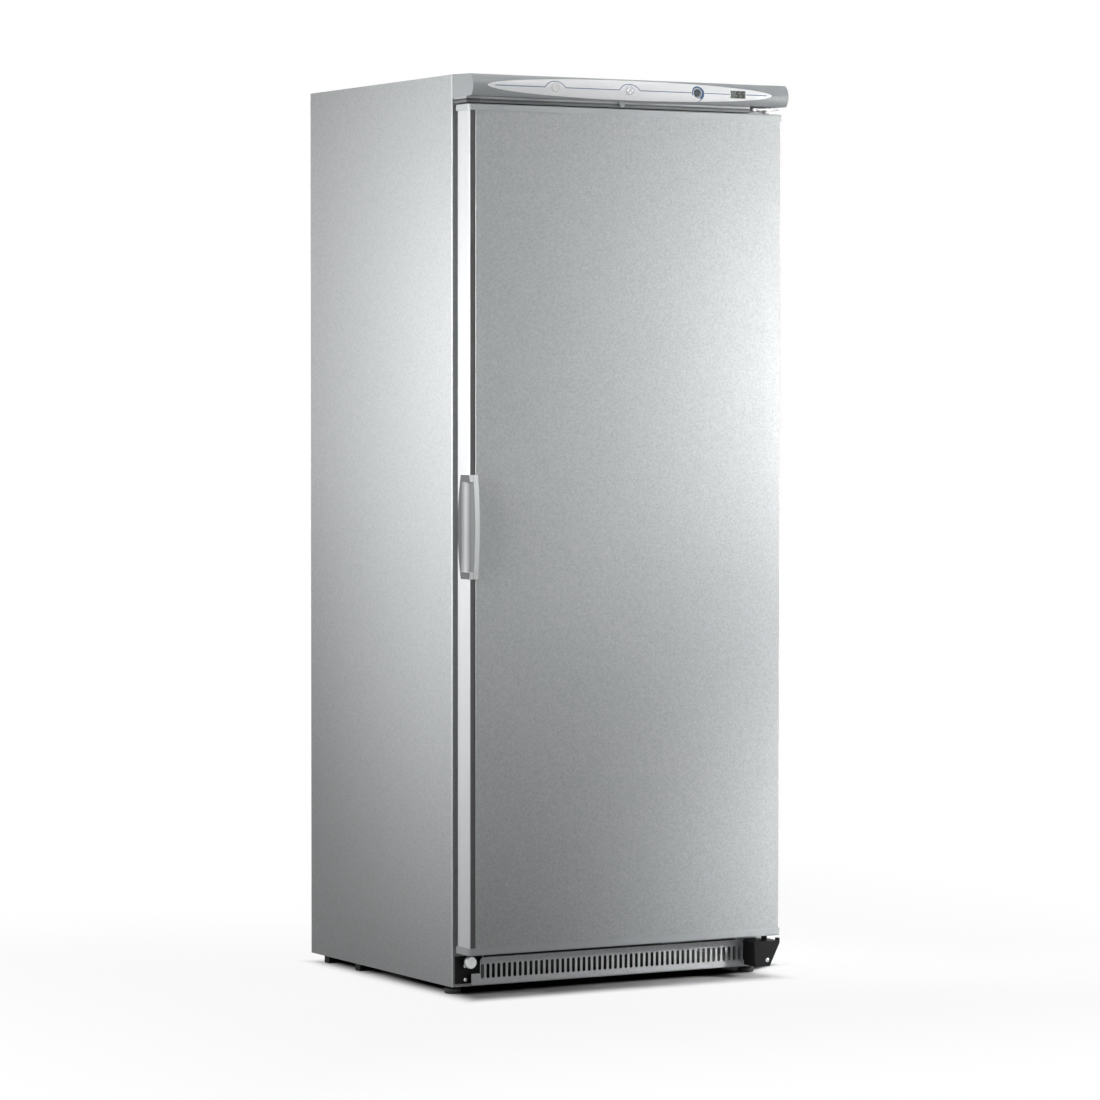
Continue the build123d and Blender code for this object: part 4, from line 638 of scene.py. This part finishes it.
def crossed(across, high, height):
    """Depth of a cross recess: full within the arms, and none beyond their width and their length."""
    width = np.minimum(np.abs(across), np.abs(high))
    length = np.maximum(np.abs(across), np.abs(high))
    on_top = height > 1.5 * mm
    within_width = np.clip((0.85 * mm - width) / (0.35 * mm), 0, 1)
    within_length = np.clip((2.8 * mm - length) / (0.5 * mm), 0, 1)
    return 1.3 * mm * within_width * within_length * on_top


def screw(seat, outward, shank):
    """Pan head with a cross recess, and its shank under the seat."""
    head = [
        (0.0, 2.9), (0.3, 2.9), (0.6, 2.9), (0.9, 2.9), (1.3, 2.88), (1.7, 2.85), (2.1, 2.8), (2.5, 2.74),
        (2.8, 2.68), (3.2, 2.58), (3.7, 2.35), (4.1, 2.0), (4.35, 1.5), (4.5, 0.8), (4.5, 0.0), (2.5, 0.0),
        (2.5, -shank), (0.0, -shank),
    ]
    return turned(np.array(head) * mm, seat, outward, 56, sink=crossed)


def all_screws():
    """Screws of the two hinge plates, the back panel, the hinge cover and the top hinge."""
    made = []
    for side in (-1, 1):
        made += [screw((side * 0.344, -0.282, z), (0, -1, 0), 4.0) for z in (0.032, 0.060)]
        made += [screw((side * 0.342, 0.344, z), (0, 1, 0), 0.4) for z in (0.282, 1.0635, 1.805)]
    made.append(screw((0.339, -0.345, 0.037), (0, -1, 0), 5.4))
    made += [screw((x, -0.330, 1.812), (0, 0, -1), 3.0) for x in (0.310, 0.3255)]
    return made


def levelling_foot(side):
    """Foot pad with a scalloped rim, whose radius falls by a cosine between its ridges, and a ridged stud."""
    pad = [
        (0.0, 0.0), (13.6, 0.0), (15.4, 0.5), (16.5, 1.6), (17.0, 2.6), (17.0, 9.4), (16.2, 11.0),
        (14.8, 11.8), (13.0, 12.0), (6.0, 12.0), (0.0, 12.0),
    ]
    ridges, groove = 24, 0.045
    pitch, bottom, top = 1.5, 11.0, 62.0

    def scallop(radius, height, angle):
        near_rim = np.clip((radius - 15 * mm) / (1.5 * mm), 0, 1)
        return 1 - groove * near_rim * (0.5 - 0.5 * np.cos(ridges * angle))

    levels = np.arange(bottom, top, pitch / 2)
    thread = [(5.0 - 0.45 * (k % 2), level) for k, level in enumerate(levels)]
    stud = [(0.0, bottom), *thread, (4.2, top), (0.0, top)]
    place = (side * 0.351, -0.240, 0.0)
    return [
        turned(np.array(pad) * mm, place, (0, 0, 1), 6 * ridges, ripple=scallop),
        turned(np.array(stud) * mm, place, (0, 0, 1), 28),
    ]


def fan_wheel():
    """Hub with five blades. Each blade is a thin wing section that turns flatter and wider towards its tip.

    The section is an ellipse, bent upwards by the square of the sine of its angle, at a pitch to the hub.
    """
    middle = np.array([0.0, 0.180, 1.7345])
    hub = [
        (2.1, 5.9), (12.8, 5.9), (13.8, 5.0), (14.0, 3.0), (14.0, -3.6), (13.0, -5.2), (10.5, -6.0),
        (2.1, -6.0), (2.1, 5.9),
    ]
    shapes = [turned(np.array(hub) * mm, middle, (0, 0, 1), 48)]
    share = np.linspace(0, 1, 12)[:, None]
    turn = np.linspace(0, 2 * np.pi, 20, endpoint=False)[None, :]
    radius = (12.5 + 39.3 * share) * mm
    chord = (15 + 9 * share) * mm
    pitch = np.radians(36 - 17 * share)
    along = 0.5 * chord * np.cos(turn)
    thick = (0.9 - 0.35 * share) * mm * np.sin(turn) + 1.6 * mm * (1 - np.cos(turn) ** 2)
    blades = 5
    for k in range(blades):
        angle = 2 * np.pi * k / blades + 0.25 * share**2
        out = np.stack([np.cos(angle), np.sin(angle), 0 * angle], axis=-1)
        round_hub = np.stack([-np.sin(angle), np.cos(angle), 0 * angle], axis=-1)
        aside = (along * np.cos(pitch) - thick * np.sin(pitch))[..., None]
        high = (along * np.sin(pitch) + thick * np.cos(pitch) - 0.8 * mm)[..., None]
        section = aside * round_hub + high * np.array([0, 0, 1.0])
        shapes.append(loft(middle + radius[..., None] * out + section))
    return shapes


def button():
    """Round key with a dished face, its flange behind the fascia and its stem."""
    profile = [
        (0.0, -0.5), (3.0, -0.42), (5.4, -0.16), (6.6, 0.0), (7.3, -0.1), (7.8, -0.45), (8.0, -1.0),
        (8.0, -7.0), (9.5, -7.0), (9.5, -9.0), (3.0, -9.0), (3.0, -16.0), (0.0, -16.0),
    ]
    return [turned(np.array(profile) * mm, (button_x, control_face, label_z), (0, -1, 0), 64)]


def knob():
    """Domed knob with a fluted side and a coin slot across its face."""
    profile = [
        (0.0, 0.0), (0.45, 0.0), (0.8, 0.0), (1.0, 0.0), (1.6, -0.01), (2.6, -0.03), (3.6, -0.06),
        (4.6, -0.12), (5.4, -0.2), (5.9, -0.28), (6.3, -0.4), (6.8, -0.65), (7.2, -1.0), (7.45, -1.5),
        (7.5, -2.2), (7.5, -7.0), (3.0, -7.0), (3.0, -19.0), (0.0, -19.0),
    ]

    def slot_across(across, high, height):
        within_width = np.clip((0.95 * mm - np.abs(across)) / (0.2 * mm), 0, 1)
        within_length = np.clip((6.0 * mm - np.abs(high)) / (0.3 * mm), 0, 1)
        return 1.5 * mm * within_width * within_length * (height > -0.5 * mm)

    def flutes(radius, height, angle):
        on_side = (height < -1.2 * mm) * (height > -6.5 * mm)
        return 1 - 0.03 * on_side * (np.cos(30 * angle) > 0)

    middle = (knob_x, control_face, label_z)
    return [turned(np.array(profile) * mm, middle, (0, -1, 0), 120, flutes, slot_across)]


printed = [
    ("label_line", "blue_plastic", label_line(), print_blue),
    ("label_crescent", "blue_plastic", label_crescent(), print_blue),
    ("lock_ring", "blue_plastic", plain_ring(lock_x, 9.0 * mm, 0.35 * mm), print_blue),
    ("knob_ring", "blue_plastic", plain_ring(knob_x, 8.6 * mm, 0.7 * mm), print_slate),
    ("button_dashes", "grey_plastic", dashed_ring(), print_grey),
    ("display_digits", "display_window", display_digits(), digit_black),
]
for name, slot, shapes, ink in printed:
    piece(name, "cabinet", slot, shapes, material=ink)
piece("bellows_gasket", "door", "gasket_rubber", gasket(), ["door_gasket"])
piece("rubber_grommets", "cabinet", "mount_rubber", rubber_mounts(), ["compressor_mounts"])
piece("cross_screws", "cabinet", "zinc_bright", all_screws(), ["screws"])
piece("scalloped_foot_left", "foot_left", "foot_plastic", levelling_foot(-1), ["front_foot_left"])
piece("scalloped_foot_right", "foot_right", "foot_plastic", levelling_foot(1), ["front_foot_right"])
piece("fan_wheel", "fan", "black_plastic", fan_wheel(), ["fan_blade"])
piece("dished_button", "power_button", "white_plastic", button(), ["power_button"])
piece("fluted_knob", "thermostat", "blue_plastic", knob(), ["thermostat_knob"])


# Stage
def sheet_on_floor(name, half, level):
    """A level square, half metres to each side of the origin."""
    corners = [(-half, -half, level), (half, -half, level), (half, half, level), (-half, half, level)]
    mesh = bpy.data.meshes.new(name)
    mesh.from_pydata(corners, [], [(0, 1, 2, 3)])
    made = bpy.data.objects.new(name, mesh)
    bpy.context.scene.collection.objects.link(made)
    return made


def seen_directly(finish):
    """1 on rays that show the background: from the camera, in gloss and through glass."""
    rays = finish.node("ShaderNodeLightPath").outputs
    shown = Field(finish, rays["Is Camera Ray"]) + Field(finish, rays["Is Glossy Ray"])
    return (shown + Field(finish, rays["Is Transmission Ray"])).above(0.0, 1.0)


def floor_material():
    """Pale floor, seen as white, with the cabinet's shadow on it near the cabinet.

    Beside is the distance to the left or the right of the cabinet's floor space, and beyond the distance from
    it on any side. Painted shade darkens the floor as seen under the cabinet, and reaches further under the
    right panel, behind its front corner.
    """
    half_wide, half_deep, rail = 0.36, 0.35, -0.27
    finish = Finish(bpy.data.materials.new("pale_floor"))
    shown = seen_directly(finish)
    mottle = finish.noise(3.0, 3.0)
    across, deep = finish.axis("X"), finish.axis("Y")
    right = across - (half_wide + 0.12 * deep.above(-0.26, -0.16))
    beside = right.at_least(-half_wide - across)
    beyond = beside.at_least(abs(deep) - half_deep)
    floor_outside_painted_shade = beside.at_least(deep - half_deep).at_least(rail - deep).above(-0.04, 0.01)
    # Painted shade: where the mask above is 0, under the cabinet and beside the right panel, the floor as
    # seen is darkened
    tone = (0.35 + 0.45 * shown) * (0.06 + 0.94 * floor_outside_painted_shade).at_least(1 - shown)
    pale = finish.tint((1.0, 1.0, 1.0), tone * (0.99 + 0.02 * mottle))
    matt = finish.node("ShaderNodeBsdfDiffuse", None, {"Color": pale})
    white = finish.node("ShaderNodeEmission", None, {"Color": (1.0, 1.0, 1.0, 1.0), "Strength": 1.0})
    share = shown * (0.90 * beyond.above(-0.03, 0.05) + 0.10 * beyond.above(0.2, 1.4))
    mixed = finish.node("ShaderNodeMixShader", None, {0: share, 1: matt.outputs[0], 2: white.outputs[0]})
    finish.node("ShaderNodeOutputMaterial", None, {"Surface": mixed.outputs[0]})
    return finish.owner


def backdrop():
    """White behind the object, and a dim even sky that lights it."""
    finish = Finish(bpy.data.worlds.new("studio"))
    bpy.context.scene.world = finish.owner
    dim = finish.node("ShaderNodeBackground", None, {"Color": (1.0, 1.0, 1.0, 1.0), "Strength": 0.05})
    white = finish.node("ShaderNodeBackground", None, {"Color": (1.0, 1.0, 1.0, 1.0), "Strength": 1.0})
    inputs = {0: seen_directly(finish), 1: dim.outputs[0], 2: white.outputs[0]}
    mixed = finish.node("ShaderNodeMixShader", None, inputs)
    finish.node("ShaderNodeOutputWorld", None, {"Surface": mixed.outputs[0]})


camera()
bpy.context.scene.view_settings.view_transform = "Standard"
backdrop()
floor = sheet_on_floor("floor", 60.0, -0.0005)
paint(floor, floor_material())
right_stand, left_stand = (2.6, -2.6, 1.3), (-3.0, -0.6, 1.4)
lamp("door_light", right_stand, (0.7, -0.345, 1.1), 0.5, 5.4, beam=38.6)
lamp("door_top_light", right_stand, (0.7, -0.345, 1.9), 0.5, 1.6, beam=28.1)
lamp("door_foot_light", right_stand, (0.7, -0.345, 0.3), 0.5, 2.5, beam=17.1)
lamp("side_light", left_stand, (-0.372, -0.5, 1.3), 0.4, 10.8, beam=53.1)
lamp("side_foot_light", left_stand, (-0.372, -0.5, 0.5), 0.4, 1.0, beam=53.1)
lamp("front_fill", (-0.9, -3.0, 2.1), (0.0, -0.35, 1.0), 1.4, 6.3)
lamp("top_front", (0.1, -1.2, 2.7), (0.0, -0.35, 1.7), 0.8, 6.2)
lamp("top_soft", (0.0, 0.15, 3.2), (0.0, 0.1, 1.8), 1.6, 12.0)
lamp("right_fill", (1.7, 0.35, 1.3), (0.37, 0.1, 1.0), 0.9, 8.0)
lamp("back_fill", (-0.1, 2.1, 1.5), (0.0, 0.37, 0.9), 1.2, 34.0)
